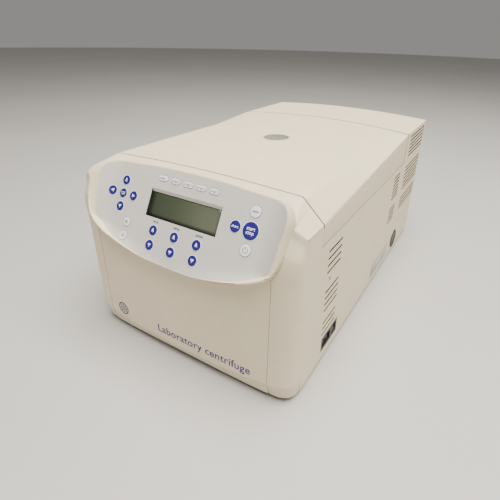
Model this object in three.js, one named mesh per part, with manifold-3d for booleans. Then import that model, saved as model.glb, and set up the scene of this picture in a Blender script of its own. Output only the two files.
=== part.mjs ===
// A refrigerated bench-top laboratory centrifuge for microtubes.
// Millimetres, +Z up. The origin is on the table under the middle of the machine, the front faces -Y.
import * as THREE from "three";
import { ConvexGeometry } from "three/addons/geometries/ConvexGeometry.js";
import { mergeVertices } from "three/addons/utils/BufferGeometryUtils.js";
import Module from "manifold-3d";

const wasm = await Module();
wasm.setup();

// ---- driving dimensions ----
const WIDTH = 380;
const DEPTH = 640;
const HEIGHT = 290;
const WALL = 2.5; // skin of the casing
const GAP = 0.4; // between fixed pieces that touch
const SEAM = 1.4; // open seam in front of the lid
const REAR_SEAM = 2.6; // open seam behind the lid, which the lid's rear edge swings in
const FOOT_HEIGHT = 9;
const EDGE_Z = 283.5; // long top edges of the casing
const CROWN = HEIGHT - EDGE_Z; // the top is this much higher along the middle
const SEAM_Z = 225; // underside of the closed lid
const SHOULDER_X = 160; // where the front corners of the lid start to fall away
const SHOULDER_Z = 256; // how low they fall at the side walls
const LID_FRONT = -240;
const LID_REAR = 150.6; // at the side walls
const REAR_BOW = 16; // the lid's rear edge is this much further back in the middle
const CORNER_Y = -282; // front edges of the side walls
const BACK_Y = 314; // back wall
const ROTOR_Y = -35; // the rotor turns about a vertical axis here

// Control panel: a plane that leans back, with its own axes across it and up it.
const PANEL_TILT = THREE.MathUtils.degToRad(60);
const PANEL_Y = -280.5;
const PANEL_Z = 240.5;
const POD_HALF = 153;
const POD_TOP = 53.6;
const POD_LIP = -79; // lowest point of the smile-shaped lip, at the middle
const POD_CORNER = 13;
const LIP_CORNER = 28;
const TOP_ARC = 1325;
const LIP_ARC = 480;
const KEY_RISE = 0.2; // the keys stand this much above the panel's plane
const KEY_DEPTH = 5.4;
const KEY_GAP = 0.35;

const HINGE_Y = 152;
const HINGE_Z = 283;
const KNUCKLE_R = 3.2;
const ROD_R = 1.8;

const HALF = WIDTH / 2;
const REAR = DEPTH / 2;
const BASE_Z = FOOT_HEIGHT + 0.3;
const LID_BOTTOM = SEAM_Z + 1;

// ---- materials ----
const finish = (color, roughness, metalness = 0) =>
  new THREE.MeshStandardMaterial({ color, roughness, metalness });
const CREAM = finish(0xddd6c8, 0.5);
const PANEL_GREY = finish(0xc2bfbc, 0.55);
const LINER_GREY = finish(0x9d9e9b, 0.6);
const DARK = finish(0x2b2b2c, 0.6);
const RUBBER = finish(0x1d1d1d, 0.85);
const STEEL = finish(0xb5b8ba, 0.3, 0.9);
const ALUMINIUM = finish(0xc9cbcc, 0.4, 0.9);
const COPPER = finish(0xb8744a, 0.35, 0.9);
const BLACK_PAINT = finish(0x202224, 0.45);
const BOARD_GREEN = finish(0x1f5a35, 0.6);
const KEY_BLUE = finish(0x2a2390, 0.5);
const KEY_WHITE = finish(0xf0f0f2, 0.5);
const SMOKED_GLASS = finish(0x8c8878, 0.1);
const DISPLAY = finish(0x566150, 0.2);

// ---- solids ----
// A closed three.js geometry as a manifold solid.
function solid(geometry) {
  const bare = geometry.index ? geometry.toNonIndexed() : geometry.clone();
  bare.deleteAttribute("normal");
  bare.deleteAttribute("uv");
  const merged = mergeVertices(bare, 1e-3);
  const vertProperties = merged.attributes.position.array;
  const triVerts = new Uint32Array(merged.index.array);
  return new wasm.Manifold(new wasm.Mesh({ numProp: 3, vertProperties, triVerts }));
}

function geometryOf(manifold) {
  const mesh = manifold.getMesh();
  const indexed = new THREE.BufferGeometry();
  indexed.setAttribute("position", new THREE.BufferAttribute(mesh.vertProperties, 3));
  indexed.setIndex(new THREE.BufferAttribute(mesh.triVerts, 1));
  const geometry = indexed.toNonIndexed();
  geometry.computeVertexNormals();
  return geometry;
}

const join = (...solids) => solids.reduce((all, next) => all.add(next));

function box([x0, y0, z0], [x1, y1, z1]) {
  const geometry = new THREE.BoxGeometry(x1 - x0, y1 - y0, z1 - z0);
  geometry.translate((x0 + x1) / 2, (y0 + y1) / 2, (z0 + z1) / 2);
  return solid(geometry);
}

const X = new THREE.Vector3(1, 0, 0);
const Y = new THREE.Vector3(0, 1, 0);
const Z = new THREE.Vector3(0, 0, 1);
const UP_PANEL = new THREE.Vector3(0, Math.cos(PANEL_TILT), Math.sin(PANEL_TILT));
const OFF_PANEL = new THREE.Vector3(0, -Math.sin(PANEL_TILT), Math.cos(PANEL_TILT));
const PANEL_ORIGIN = new THREE.Vector3(0, PANEL_Y, PANEL_Z);

// An outline extruded from one height to another, along the third axis of a frame of axes.
function prism(points, from, to, axes, origin = new THREE.Vector3(), holes = []) {
  const shape = new THREE.Shape(points.map(([u, v]) => new THREE.Vector2(u, v)));
  shape.holes = holes.map((hole) => new THREE.Path(hole.map(([u, v]) => new THREE.Vector2(u, v))));
  const geometry = new THREE.ExtrudeGeometry(shape, { depth: to - from, bevelEnabled: false });
  geometry.translate(0, 0, from);
  geometry.applyMatrix4(new THREE.Matrix4().makeBasis(...axes).setPosition(origin));
  return solid(geometry);
}

const prismX = (points, x0, x1) => prism(points, x0, x1, [Y, Z, X]); // points are (y, z)
const prismY = (points, y0, y1) => prism(points, -y1, -y0, [X, Z, Y.clone().negate()]); // (x, z)
const prismZ = (points, z0, z1, holes) => prism(points, z0, z1, [X, Y, Z], undefined, holes); // (x, y)
const panelPrism = (points, h0, h1) => prism(points, h0, h1, [X, UP_PANEL, OFF_PANEL], PANEL_ORIGIN);

// A turned piece about the vertical line at (x, y), from a closed profile of (radius, z) that
// runs anticlockwise.
function turned(profile, x, y, segments = 20) {
  const geometry = new THREE.LatheGeometry(
    profile.map(([r, z]) => new THREE.Vector2(r, z)),
    segments,
  );
  geometry.rotateX(Math.PI / 2);
  geometry.translate(x, y, 0);
  return solid(geometry);
}

function rod(axis, centre, radius, length, segments = 12) {
  const geometry = new THREE.CylinderGeometry(radius, radius, length, segments);
  const turn = new THREE.Quaternion().setFromUnitVectors(Y, axis);
  geometry.applyQuaternion(turn);
  geometry.translate(...centre);
  return solid(geometry);
}

// Everything on the outer side of a plane, as a large block.
function beyond(point, normal) {
  const size = 1600;
  const geometry = new THREE.BoxGeometry(size, size, size);
  geometry.translate(0, 0, size / 2);
  geometry.applyQuaternion(new THREE.Quaternion().setFromUnitVectors(Z, normal));
  geometry.translate(point.x, point.y, point.z);
  return solid(geometry);
}

const steps = (count, first, last) =>
  Array.from({ length: count + 1 }, (_, i) => first + ((last - first) * i) / count);

const rectangle = (u0, v0, u1, v1) => [
  [u0, v0],
  [u1, v0],
  [u1, v1],
  [u0, v1],
];

const mirrored = (points) => [...points, ...points.map(([x, y, z]) => [-x, y, z])];

// ---- the casing's shape ----
const topAt = (x) => EDGE_Z + CROWN * (1 - (x / HALF) ** 2);

// A block under the crowned top, lowered by drop.
function crowned(half, y0, y1, zBottom, drop) {
  const arc = steps(20, half, -half).map((x) => [x, topAt(x) - drop]);
  return prismY([[-half, zBottom], [half, zBottom], ...arc], y0, y1);
}

// Top of the lid: crowned, with a shoulder along each side that fades out towards the back.
function lidTop(x, y) {
  const across = Math.max((Math.abs(x) - SHOULDER_X) / (HALF - SHOULDER_X), 0);
  const along = THREE.MathUtils.clamp((y - LID_FRONT) / (LID_REAR - LID_FRONT), 0, 1);
  return topAt(x) - (EDGE_Z - SHOULDER_Z) * across * (1 - along);
}

// A block under the lid's top, lowered by drop.
function underLidTop(half, y0, y1, zBottom, drop) {
  const shoulder = steps(4, SHOULDER_X, half);
  const middle = steps(12, -SHOULDER_X, SHOULDER_X).slice(1, -1);
  const xs = [...shoulder.map((x) => -x).reverse(), ...middle, ...shoulder];
  const ys = steps(8, y0, Math.min(y1, LID_REAR));
  if (y1 > LID_REAR) ys.push(y1);
  const top = ys.map((y) => xs.map((x) => [x, y, lidTop(x, y) - drop]));
  const bottom = ys.map((y) => xs.map((x) => [x, y, zBottom]));
  const around = (grid) => {
    const [left, right] = [0, xs.length - 1].map((i) => grid.map((row) => row[i]));
    return [...grid[0], ...right, ...[...grid[ys.length - 1]].reverse(), ...left.reverse()];
  };
  const triangles = [];
  const strip = (a, b) => {
    for (let i = 0; i + 1 < a.length; i += 1)
      triangles.push(a[i], a[i + 1], b[i + 1], a[i], b[i + 1], b[i]);
  };
  for (let j = 0; j + 1 < ys.length; j += 1) {
    strip(top[j], top[j + 1]);
    strip(bottom[j + 1], bottom[j]);
  }
  strip(around(bottom), around(top));
  const geometry = new THREE.BufferGeometry();
  geometry.setAttribute("position", new THREE.Float32BufferAttribute(triangles.flat(), 3));
  return solid(geometry);
}

const bowed = (y, bow) => steps(16, HALF, -HALF).map((x) => [x, y + bow * (1 - (x / HALF) ** 2)]);

// The nose of the casing in front of the lid, as the hull of its corners. An inset moves the
// corners inwards, to hollow it.
function nose(inset) {
  const crown = [0, 60, 120, SHOULDER_X].map((x) => [x, LID_FRONT - SEAM, topAt(x)]);
  const right = [
    ...crown,
    [HALF, LID_FRONT - SEAM, SHOULDER_Z],
    [0, -252, 289.4],
    [60, -253, 288.6],
    [120, -257, 286],
    [152, -262, 281],
    [166, -275, 275.5],
    [174, -287, 267.5],
    [HALF, CORNER_Y, SHOULDER_Z],
    [170, -298, 238],
    [0, -307, 200],
    [100, -306.5, 200],
    [155, -304.5, 205],
    [175, -299, 200],
    [185, -292, 200],
    [0, -317, 24],
    [80, -316.6, 26],
    [140, -315.4, 30],
    [160, -312.5, 33],
    [175, -305, 35],
    [185, -295, 36],
    [HALF, CORNER_Y, 36],
    [0, -313, BASE_Z],
    [140, -311, BASE_Z],
    [158, -307, BASE_Z],
    [176, -295, BASE_Z],
    [HALF - 1, CORNER_Y + 1, BASE_Z],
    [HALF - 1, LID_FRONT - SEAM, BASE_Z],
  ];
  const corners = mirrored(right).map(
    ([x, y, z]) => new THREE.Vector3(x - Math.sign(x) * inset, y + inset, z - inset),
  );
  return solid(new ConvexGeometry(corners));
}

// ---- the control pod's outline ----
function podOutline(inset, toPoint) {
  const half = POD_HALF - inset;
  const topAcross = (x) => POD_TOP - inset - (TOP_ARC - Math.sqrt(TOP_ARC ** 2 - x ** 2));
  const lipAcross = (x) => POD_LIP + inset + (LIP_ARC - Math.sqrt(LIP_ARC ** 2 - x ** 2));
  const straight = half - POD_CORNER;
  const lipEnd = half - LIP_CORNER;
  const outline = new THREE.Path();
  outline.moveTo(-lipEnd, lipAcross(lipEnd));
  steps(12, -lipEnd, lipEnd).forEach((x) => outline.lineTo(x, lipAcross(x)));
  outline.quadraticCurveTo(half, lipAcross(half), half, lipAcross(half) + LIP_CORNER);
  outline.lineTo(half, topAcross(half) - POD_CORNER);
  outline.quadraticCurveTo(half, topAcross(half), straight, topAcross(straight));
  steps(8, straight, -straight).forEach((x) => outline.lineTo(x, topAcross(x)));
  outline.quadraticCurveTo(-half, topAcross(half), -half, topAcross(half) - POD_CORNER);
  outline.lineTo(-half, lipAcross(half) + LIP_CORNER);
  outline.quadraticCurveTo(-half, lipAcross(half), -lipEnd, lipAcross(lipEnd));
  const points = outline.getPoints(4);
  const distinct = points.filter((p, i) => p.distanceTo(points[(i + 1) % points.length]) > 0.05);
  return distinct.map((p) => toPoint(p.x, p.y));
}

const acrossPanel = (x, s) => [x, s];
const acrossFront = (x, s) => [x, PANEL_Z + s * Math.sin(PANEL_TILT)];
const podBlock = (inset) =>
  prismY(podOutline(inset, acrossFront), -REAR - 20, LID_FRONT - SEAM - WALL - 1.5);
const inFrontOfPanel = (h) => beyond(PANEL_ORIGIN.clone().addScaledVector(OFF_PANEL, h), OFF_PANEL);
const behindPanel = (h) =>
  beyond(PANEL_ORIGIN.clone().addScaledVector(OFF_PANEL, h), OFF_PANEL.clone().negate());

// ---- the assembly ----
const machine = new THREE.Group();

function add(name, manifold, material) {
  const mesh = new THREE.Mesh(geometryOf(manifold), material);
  mesh.name = name;
  machine.add(mesh);
}

// Base and feet
const SIDE_SLOT = 3.2;
const outlineBelow = [
  [HALF - 3, BACK_Y - WALL - GAP],
  [-HALF + 3, BACK_Y - WALL - GAP],
  [-HALF + 3, CORNER_Y + 2],
  [-155, -300],
  [155, -300],
  [HALF - 3, CORNER_Y + 2],
];
const PAN_DEPTH = 14;
const panInside = outlineBelow.map(([x, y]) => [x - Math.sign(x) * 2, y - Math.sign(y) * 2]);
const pan = prismZ(outlineBelow, BASE_Z, BASE_Z + PAN_DEPTH);
add("base_pan", pan.subtract(prismZ(panInside, BASE_Z + 2.5, BASE_Z + PAN_DEPTH + 1)), BLACK_PAINT);

const FOOT_R = 18;
for (const [name, x, y] of [
  ["foot_front_left", -150, -255],
  ["foot_front_right", 150, -255],
  ["foot_rear_left", -150, 280],
  ["foot_rear_right", 150, 280],
]) {
  const profile = [
    [0, 0],
    [FOOT_R - 2, 0],
    [FOOT_R, 2.5],
    [FOOT_R - 2, FOOT_HEIGHT],
    [0, FOOT_HEIGHT],
  ];
  add(name, turned(profile, x, y, 16), RUBBER);
}

// Side panels with their ventilation slots
const sideOutline = [
  [CORNER_Y + GAP, BASE_Z],
  [BACK_Y, BASE_Z],
  [BACK_Y, EDGE_Z - WALL - GAP],
  [LID_REAR + REAR_SEAM, EDGE_Z - WALL - GAP],
  [LID_REAR + REAR_SEAM, SEAM_Z],
  [LID_FRONT - SEAM, SEAM_Z],
  [LID_FRONT - SEAM, SHOULDER_Z - WALL],
  [CORNER_Y + GAP, SHOULDER_Z - WALL],
];
// Each group of slots: first and last y, lowest z, number of slots and their pitch.
const slotGroups = [
  [-217, -170, 170.5, 4, 11.2],
  [-217, -170, 104.5, 4, 11.0],
  [-217, -170, 59, 3, 11.0],
  [95, 137, 163, 7, 7.5],
  [95, 137, 111, 5, 7.5],
  [180, 306, 231, 6, 8],
  [180, 306, 158, 7, 8],
  [180, 306, 112, 4, 8],
];
const slots = slotGroups.flatMap(([y0, y1, low, count, pitch]) =>
  steps(count - 1, low, low + (count - 1) * pitch).map((z) => [y0, y1, z]),
);
const INLET = { y0: -215, y1: -155, z0: 24, z1: 51 };
for (const [name, side] of [
  ["side_panel_left", -1],
  ["side_panel_right", 1],
]) {
  const [outer, inner] = [side * HALF, side * (HALF - WALL)].sort((a, b) => a - b);
  let panel = prismX(sideOutline, outer, inner);
  for (const [y0, y1, z] of slots)
    panel = panel.subtract(box([outer - 1, y0, z], [inner + 1, y1, z + SIDE_SLOT]));
  if (side > 0) {
    const { y0, y1, z0, z1 } = INLET;
    panel = panel.subtract(box([outer - 1, y0 - GAP, z0 - GAP], [inner + 1, y1 + GAP, z1 + GAP]));
  }
  add(name, panel, CREAM);
}

// Rear cover and back wall
const coverFront = bowed(LID_REAR + REAR_SEAM, REAR_BOW).reverse();
const coverPlan = [...coverFront, ...bowed(BACK_Y, REAR - BACK_Y)];
const coverBlock = prismZ(coverPlan, EDGE_Z - WALL, HEIGHT + 1);
const cover = crowned(HALF, 0, REAR, EDGE_Z - WALL, 0).intersect(coverBlock);
const underCover = crowned(HALF - WALL, 0, BACK_Y - WALL, 0, WALL);
add("rear_cover", cover.subtract(underCover), CREAM);

const backHalf = HALF - WALL - GAP;
let back = box([-backHalf, BACK_Y - WALL, BASE_Z], [backHalf, BACK_Y, EDGE_Z - WALL - GAP]);
for (const z of steps(8, 100, 220)) {
  back = back.subtract(box([-150, BACK_Y - WALL - 1, z], [-20, BACK_Y + 1, z + 5]));
  back = back.subtract(box([20, BACK_Y - WALL - 1, z], [150, BACK_Y + 1, z + 5]));
}
add("rear_panel", back, CREAM);

// Nose: the frame around the front, and the lower front panel set into it
const FRONT_PANEL_HALF = 155;
const noseSkin = nose(0).subtract(nose(WALL));
const behindNose = box([-HALF - 1, CORNER_Y, 0], [HALF + 1, LID_FRONT + 40, SHOULDER_Z - WALL + GAP]);
const behindSeam = box([-HALF - 1, LID_FRONT - SEAM, 0], [HALF + 1, LID_FRONT + 60, HEIGHT + 10]);
const scoopOutline = podOutline(-4, acrossPanel);
const scoop = panelPrism(scoopOutline, 0, 60);
const frontOpening = box([-FRONT_PANEL_HALF, -REAR, 0], [FRONT_PANEL_HALF, CORNER_Y, 215]);
const frame = noseSkin
  .subtract(behindNose)
  .subtract(behindSeam)
  .subtract(scoop)
  .subtract(podBlock(-GAP))
  .subtract(frontOpening);
add("front_frame", frame, CREAM);

const frontBlock = box(
  [-FRONT_PANEL_HALF + GAP, -REAR, 0],
  [FRONT_PANEL_HALF - GAP, CORNER_Y - GAP, 215 - GAP],
);
add("front_panel", noseSkin.intersect(frontBlock).subtract(podBlock(-GAP)), CREAM);

// Control pod: a deep bezel whose lower lip stands out over the front panel
const POD_PLATE = 5;
const POD_BACK = -30;
const MEMBRANE_INSET = 3.2;
const MEMBRANE_BACK = -2.2;
const MEMBRANE_FACE = -0.3;
const LEDGE = 2;
const membraneOutline = podOutline(MEMBRANE_INSET, acrossPanel);
const podHollow = podBlock(3.5).subtract(inFrontOfPanel(-POD_PLATE));
const pod = podBlock(0)
  .subtract(inFrontOfPanel(0))
  .subtract(behindPanel(POD_BACK))
  .subtract(podHollow)
  .subtract(panelPrism(podOutline(MEMBRANE_INSET - GAP, acrossPanel), MEMBRANE_BACK - 0.2, 5))
  .subtract(panelPrism(podOutline(MEMBRANE_INSET + LEDGE, acrossPanel), -POD_PLATE - 5, 5));
add("control_pod", pod, CREAM);

// The keys: round ones as name, x, s, radius and finish, then the five rounded program keys.
const roundKeys = [
  ["key_menu_up", -114.5, 21.5, 6.8, KEY_BLUE],
  ["key_menu_left", -135.5, 2, 6.8, KEY_BLUE],
  ["key_menu_enter", -114.5, 2, 6.8, KEY_BLUE],
  ["key_menu_right", -93.5, 2, 6.8, KEY_BLUE],
  ["key_menu_down", -114.5, -17.5, 6.8, KEY_BLUE],
  ["key_fast_cool", -93.5, -36.5, 6.4, KEY_WHITE],
  ["key_rotor", -93.5, -56.5, 6.4, KEY_WHITE],
  ["key_open", 110, 27, 7.6, KEY_WHITE],
  ["key_short", 87, 2.4, 7.6, KEY_BLUE],
  ["key_start_stop", 110, 2.4, 11.2, KEY_BLUE],
  ["key_standby", 110, -22, 7.6, KEY_WHITE],
];
const ARROW_PITCH = 39;
["time", "temperature", "speed"].forEach((what, i) => {
  const x = -41 + ARROW_PITCH * i;
  roundKeys.push([`key_${what}_up`, x, -36, 7, KEY_BLUE]);
  roundKeys.push([`key_${what}_down`, x, -57, 7, KEY_BLUE]);
});
const PROGRAM_PITCH = 22.3;
const PROGRAM_S = 37.5;
const PROGRAM_SIZE = [16, 7.6];
const FIRST_PROGRAM_X = -46.2;
const programKeys = [0, 1, 2, 3, 4].map((i) => [
  `key_program_${i + 1}`,
  FIRST_PROGRAM_X + i * PROGRAM_PITCH,
]);

const KEY_SEGMENTS = 12;
function circle(x, s, radius, segments = KEY_SEGMENTS) {
  return steps(segments, 0, 2 * Math.PI)
    .slice(0, -1)
    .map((a) => [x + radius * Math.cos(a), s + radius * Math.sin(a)]);
}

// A round key: a cap with a flange behind the membrane that holds it in.
function roundKey(x, s, radius) {
  const flangeFace = MEMBRANE_BACK - GAP;
  const profile = [
    [0, KEY_RISE - KEY_DEPTH],
    [radius + 1, KEY_RISE - KEY_DEPTH],
    [radius + 1, flangeFace],
    [radius, flangeFace],
    [radius, KEY_RISE],
    [0, KEY_RISE],
  ];
  const geometry = new THREE.LatheGeometry(
    profile.map(([r, h]) => new THREE.Vector2(r, h)),
    KEY_SEGMENTS,
    Math.PI / 2,
  );
  geometry.rotateX(Math.PI / 2);
  geometry.translate(x, s, 0);
  geometry.applyMatrix4(
    new THREE.Matrix4().makeBasis(X, UP_PANEL, OFF_PANEL).setPosition(PANEL_ORIGIN),
  );
  return solid(geometry);
}

function pill(x, s, width, height) {
  const r = height / 2;
  const reach = width / 2 - r;
  const ends = [0, Math.PI].flatMap((from) =>
    steps(4, from - Math.PI / 2, from + Math.PI / 2).map((a) => [
      x + Math.sign(Math.cos(from)) * reach + r * Math.cos(a),
      s + r * Math.sin(a),
    ]),
  );
  return ends;
}

const DISPLAY_HALF = 62;
const DISPLAY_LOW = -18.5;
const DISPLAY_HIGH = 21.5;
let membrane = panelPrism(membraneOutline, MEMBRANE_BACK, MEMBRANE_FACE).subtract(
  panelPrism(rectangle(-DISPLAY_HALF, DISPLAY_LOW, DISPLAY_HALF, DISPLAY_HIGH), -9, 9),
);
for (const [name, x, s, radius, material] of roundKeys) {
  membrane = membrane.subtract(panelPrism(circle(x, s, radius + KEY_GAP), -9, 9));
  add(name, roundKey(x, s, radius), material);
}
for (const [name, x] of programKeys) {
  const [width, height] = PROGRAM_SIZE;
  const hole = pill(x, PROGRAM_S, width + 2 * KEY_GAP, height + 2 * KEY_GAP);
  membrane = membrane.subtract(panelPrism(hole, -9, 9));
  add(name, panelPrism(pill(x, PROGRAM_S, width, height), KEY_RISE - KEY_DEPTH, KEY_RISE), KEY_WHITE);
}
add("control_membrane", membrane, PANEL_GREY);

const BOARD_FACE = -6.2;
const module = rectangle(-DISPLAY_HALF - 3, DISPLAY_LOW - 2, DISPLAY_HALF + 3, DISPLAY_HIGH + 2);
add("display_module", panelPrism(module, BOARD_FACE + 0.3, -3.5), DISPLAY);
const boardOutline = podOutline(9, acrossPanel);
add("control_board", panelPrism(boardOutline, BOARD_FACE - 1.8, BOARD_FACE), BOARD_GREEN);

// Deck under the lid, with its front and back walls
const DECK_Z = 222;
const BOWL_R = 132;
const WALL_Y = LID_FRONT - SEAM - WALL - 0.8;
const deckHalf = HALF - WALL - GAP;
const BULKHEAD_Y = 170.5;
const LATCH_X = 140;
const LATCH_Y = -226;
const deckPlate = box([-deckHalf, WALL_Y, DECK_Z - WALL], [deckHalf, BULKHEAD_Y + 2, DECK_Z]);
const frontWall = box([-deckHalf, WALL_Y, DECK_Z - WALL], [deckHalf, WALL_Y + 2, HEIGHT]);
const bulkhead = box(
  [-deckHalf, BULKHEAD_Y, DECK_Z - WALL],
  [deckHalf, BULKHEAD_Y + 2, EDGE_Z - WALL - 2],
);
let deck = join(deckPlate, frontWall.intersect(nose(WALL + GAP)), bulkhead);
deck = deck.subtract(rod(Z, [0, ROTOR_Y, DECK_Z], BOWL_R + 2.5, 100, 36));
for (const side of [-1, 1]) {
  const x = side * LATCH_X;
  deck = deck.subtract(box([x - 9, LATCH_Y - 10, DECK_Z - 10], [x + 9, LATCH_Y + 8, DECK_Z + 1]));
}
add("deck", deck, LINER_GREY);

const bowl = [
  [15, 96],
  [118, 96],
  [128, 100],
  [BOWL_R, 110],
  [BOWL_R, DECK_Z + GAP],
  [BOWL_R + 18, DECK_Z + GAP],
  [BOWL_R + 18, DECK_Z + GAP + 2],
  [BOWL_R - 2, DECK_Z + GAP + 2],
  [BOWL_R - 2, 111],
  [127, 102],
  [117, 98],
  [15, 98],
  [15, 96],
];
add("rotor_bowl", turned(bowl, 0, ROTOR_Y, 36), STEEL);

const lock = box([-165, LATCH_Y - 14, 172], [165, LATCH_Y + 12, DECK_Z - WALL - GAP]);
let lockCase = lock;
for (const side of [-1, 1]) {
  const x = side * LATCH_X;
  lockCase = lockCase.subtract(box([x - 9, LATCH_Y - 10, 180], [x + 9, LATCH_Y + 8, DECK_Z]));
}
add("lid_lock", lockCase, BLACK_PAINT);

// Lid: shell, liner, gasket, sight glass, hinge and latch
const lidPlan = [[-HALF, LID_FRONT], [HALF, LID_FRONT], ...bowed(LID_REAR, REAR_BOW)];
const lidPlanBlock = prismZ(lidPlan, 0, HEIGHT + 5);
const lidBlock = underLidTop(HALF, LID_FRONT, REAR, LID_BOTTOM, 0).intersect(lidPlanBlock);
const LID_WALL_Y = 146;
const lidHollow = underLidTop(HALF - WALL, LID_FRONT + WALL, LID_WALL_Y - WALL, 0, WALL);
const lidOverhang = crowned(HALF - WALL, LID_WALL_Y, REAR, 0, WALL);
const GLASS_R = 21.5;
const RING_R = 24;
const glassBore = turned(
  [
    [0, 0],
    [RING_R + GAP, 0],
    [RING_R + GAP, HEIGHT + 10],
    [0, HEIGHT + 10],
  ],
  0,
  ROTOR_Y,
  24,
);
const hingeNotch = box([-80, LID_WALL_Y - 10, HINGE_Z - 12], [80, LID_WALL_Y + 1, EDGE_Z + 2]);
const lidShell = lidBlock
  .subtract(lidHollow)
  .subtract(lidOverhang)
  .subtract(hingeNotch)
  .subtract(glassBore);
add("lid_shell", lidShell, CREAM);

const LINER_Z = 232.6;
const linerHalf = HALF - WALL - GAP;
const linerPlate = box(
  [-linerHalf, LID_FRONT + WALL + GAP, LINER_Z],
  [linerHalf, LID_WALL_Y - WALL - GAP, LINER_Z + 2],
);
const linerDish = turned(
  [
    [0, LINER_Z - 5],
    [112, LINER_Z - 5],
    [122, LINER_Z],
    [122, LINER_Z + 1],
    [0, LINER_Z + 1],
  ],
  0,
  ROTOR_Y,
  36,
);
add("lid_liner", linerPlate.add(linerDish).subtract(glassBore), LINER_GREY);

const GASKET_R = 141;
const gasketProfile = [
  [GASKET_R - 4, LINER_Z - 0.3],
  [GASKET_R - 4, LINER_Z - 5],
  [GASKET_R - 1.5, LINER_Z - 7],
  [GASKET_R + 1.5, LINER_Z - 7],
  [GASKET_R + 4, LINER_Z - 5],
  [GASKET_R + 4, LINER_Z - 0.3],
  [GASKET_R - 4, LINER_Z - 0.3],
];
add("lid_gasket", turned(gasketProfile, 0, ROTOR_Y, 36), RUBBER);

const ringProfile = [
  [GLASS_R + GAP, LINER_Z - 4],
  [RING_R, LINER_Z - 4],
  [RING_R, HEIGHT - 0.2],
  [GLASS_R + GAP, HEIGHT - 0.2],
  [GLASS_R + GAP, LINER_Z - 4],
];
add("sight_glass_ring", turned(ringProfile, 0, ROTOR_Y, 24), PANEL_GREY);
const glassProfile = [
  [0, HEIGHT - 5],
  [GLASS_R, HEIGHT - 5],
  [GLASS_R, HEIGHT - 1.2],
  [0, HEIGHT - 1.2],
];
add("sight_glass", turned(glassProfile, 0, ROTOR_Y, 24), SMOKED_GLASS);

// Hinge: the lid's arm and the machine's bracket share one rod.
const hingeRod = rod(X, [0, HINGE_Y, HINGE_Z], ROD_R, 140);
const knuckleBore = rod(X, [0, HINGE_Y, HINGE_Z], ROD_R + 0.4, 160);
add("hinge_rod", hingeRod, STEEL);
const ARM_HALF = 68;
const BRACKET_HALF = 42;
const armProfile = [
  [HINGE_Y, HINGE_Z - 2.5],
  [HINGE_Y, HINGE_Z + 0.2],
  [100, HINGE_Z + 0.2],
  [100, LINER_Z + 2 + GAP],
  [112, LINER_Z + 2 + GAP],
  [112, LINER_Z + 5],
  [103, LINER_Z + 5],
  [103, HINGE_Z - 2.5],
];
const armNotch = box(
  [-BRACKET_HALF - 1, HINGE_Y - 8, HINGE_Z - 10],
  [BRACKET_HALF + 1, HINGE_Y + 8, HINGE_Z + 10],
);
let arm = prismX(armProfile, -ARM_HALF, ARM_HALF).subtract(armNotch);
for (const side of [-1, 1]) {
  const middle = (side * (ARM_HALF + BRACKET_HALF + 1)) / 2;
  arm = arm.add(rod(X, [middle, HINGE_Y, HINGE_Z], KNUCKLE_R, ARM_HALF - BRACKET_HALF - 1));
}
add("lid_hinge", arm.subtract(knuckleBore), STEEL);

const bracketProfile = [
  [HINGE_Y - 1.5, DECK_Z + 0.3],
  [BULKHEAD_Y - GAP, DECK_Z + 0.3],
  [BULKHEAD_Y - GAP, DECK_Z + 3.3],
  [HINGE_Y + 1.5, DECK_Z + 3.3],
  [HINGE_Y + 1.5, HINGE_Z],
  [HINGE_Y - 1.5, HINGE_Z],
];
const bracket = prismX(bracketProfile, -BRACKET_HALF, BRACKET_HALF)
  .add(rod(X, [0, HINGE_Y, HINGE_Z], KNUCKLE_R, 2 * BRACKET_HALF))
  .subtract(knuckleBore);
add("hinge_bracket", bracket, STEEL);

const hookProfile = [
  [LATCH_Y - 1, LINER_Z - GAP],
  [LATCH_Y - 1, 190],
  [LATCH_Y + 5, 190],
  [LATCH_Y + 5, 195],
  [LATCH_Y + 2.5, 199],
  [LATCH_Y + 2.5, LINER_Z - GAP],
];
const latchBar = box([-150, LATCH_Y - 6, LINER_Z - GAP - 2.5], [150, LATCH_Y + 6, LINER_Z - GAP]);
const hooks = [-1, 1].map((side) => prismX(hookProfile, side * LATCH_X - 6, side * LATCH_X + 6));
add("lid_latch", join(latchBar, ...hooks), STEEL);

// Drive: motor on its mount, shaft, rotor and the rotor's own lid
const mount = box([-70, ROTOR_Y - 70, BASE_Z + 2.8], [70, ROTOR_Y + 70, 18]);
add("motor_mount", mount, STEEL);
const motorProfile = [
  [0, 18.4],
  [56, 18.4],
  [60, 22],
  [60, 78],
  [54, 86],
  [20, 88],
  [0, 88],
];
const shaftHole = turned([[0, 60], [9, 60], [9, 100], [0, 100]], 0, ROTOR_Y);
add("motor", turned(motorProfile, 0, ROTOR_Y).subtract(shaftHole), BLACK_PAINT);
const shaftProfile = [
  [0, 62],
  [7.5, 62],
  [7.5, 168],
  [6, 170],
  [0, 170],
];
add("motor_shaft", turned(shaftProfile, 0, ROTOR_Y), STEEL);
const rotorProfile = [
  [8, 112],
  [30, 112],
  [52, 118],
  [104, 164],
  [110, 178],
  [110, 194],
  [104, 196],
  [100, 188],
  [60, 176],
  [8, 176],
  [8, 112],
];
add("rotor", turned(rotorProfile, 0, ROTOR_Y, 32), ALUMINIUM);
const rotorLidProfile = [
  [0, 177],
  [60, 177],
  [99, 189.4],
  [101, 197],
  [92, 200],
  [34, 203],
  [22, 204],
  [20, 214],
  [17, 216],
  [0, 216],
];
add("rotor_lid", turned(rotorLidProfile, 0, ROTOR_Y, 32), BLACK_PAINT);

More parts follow.
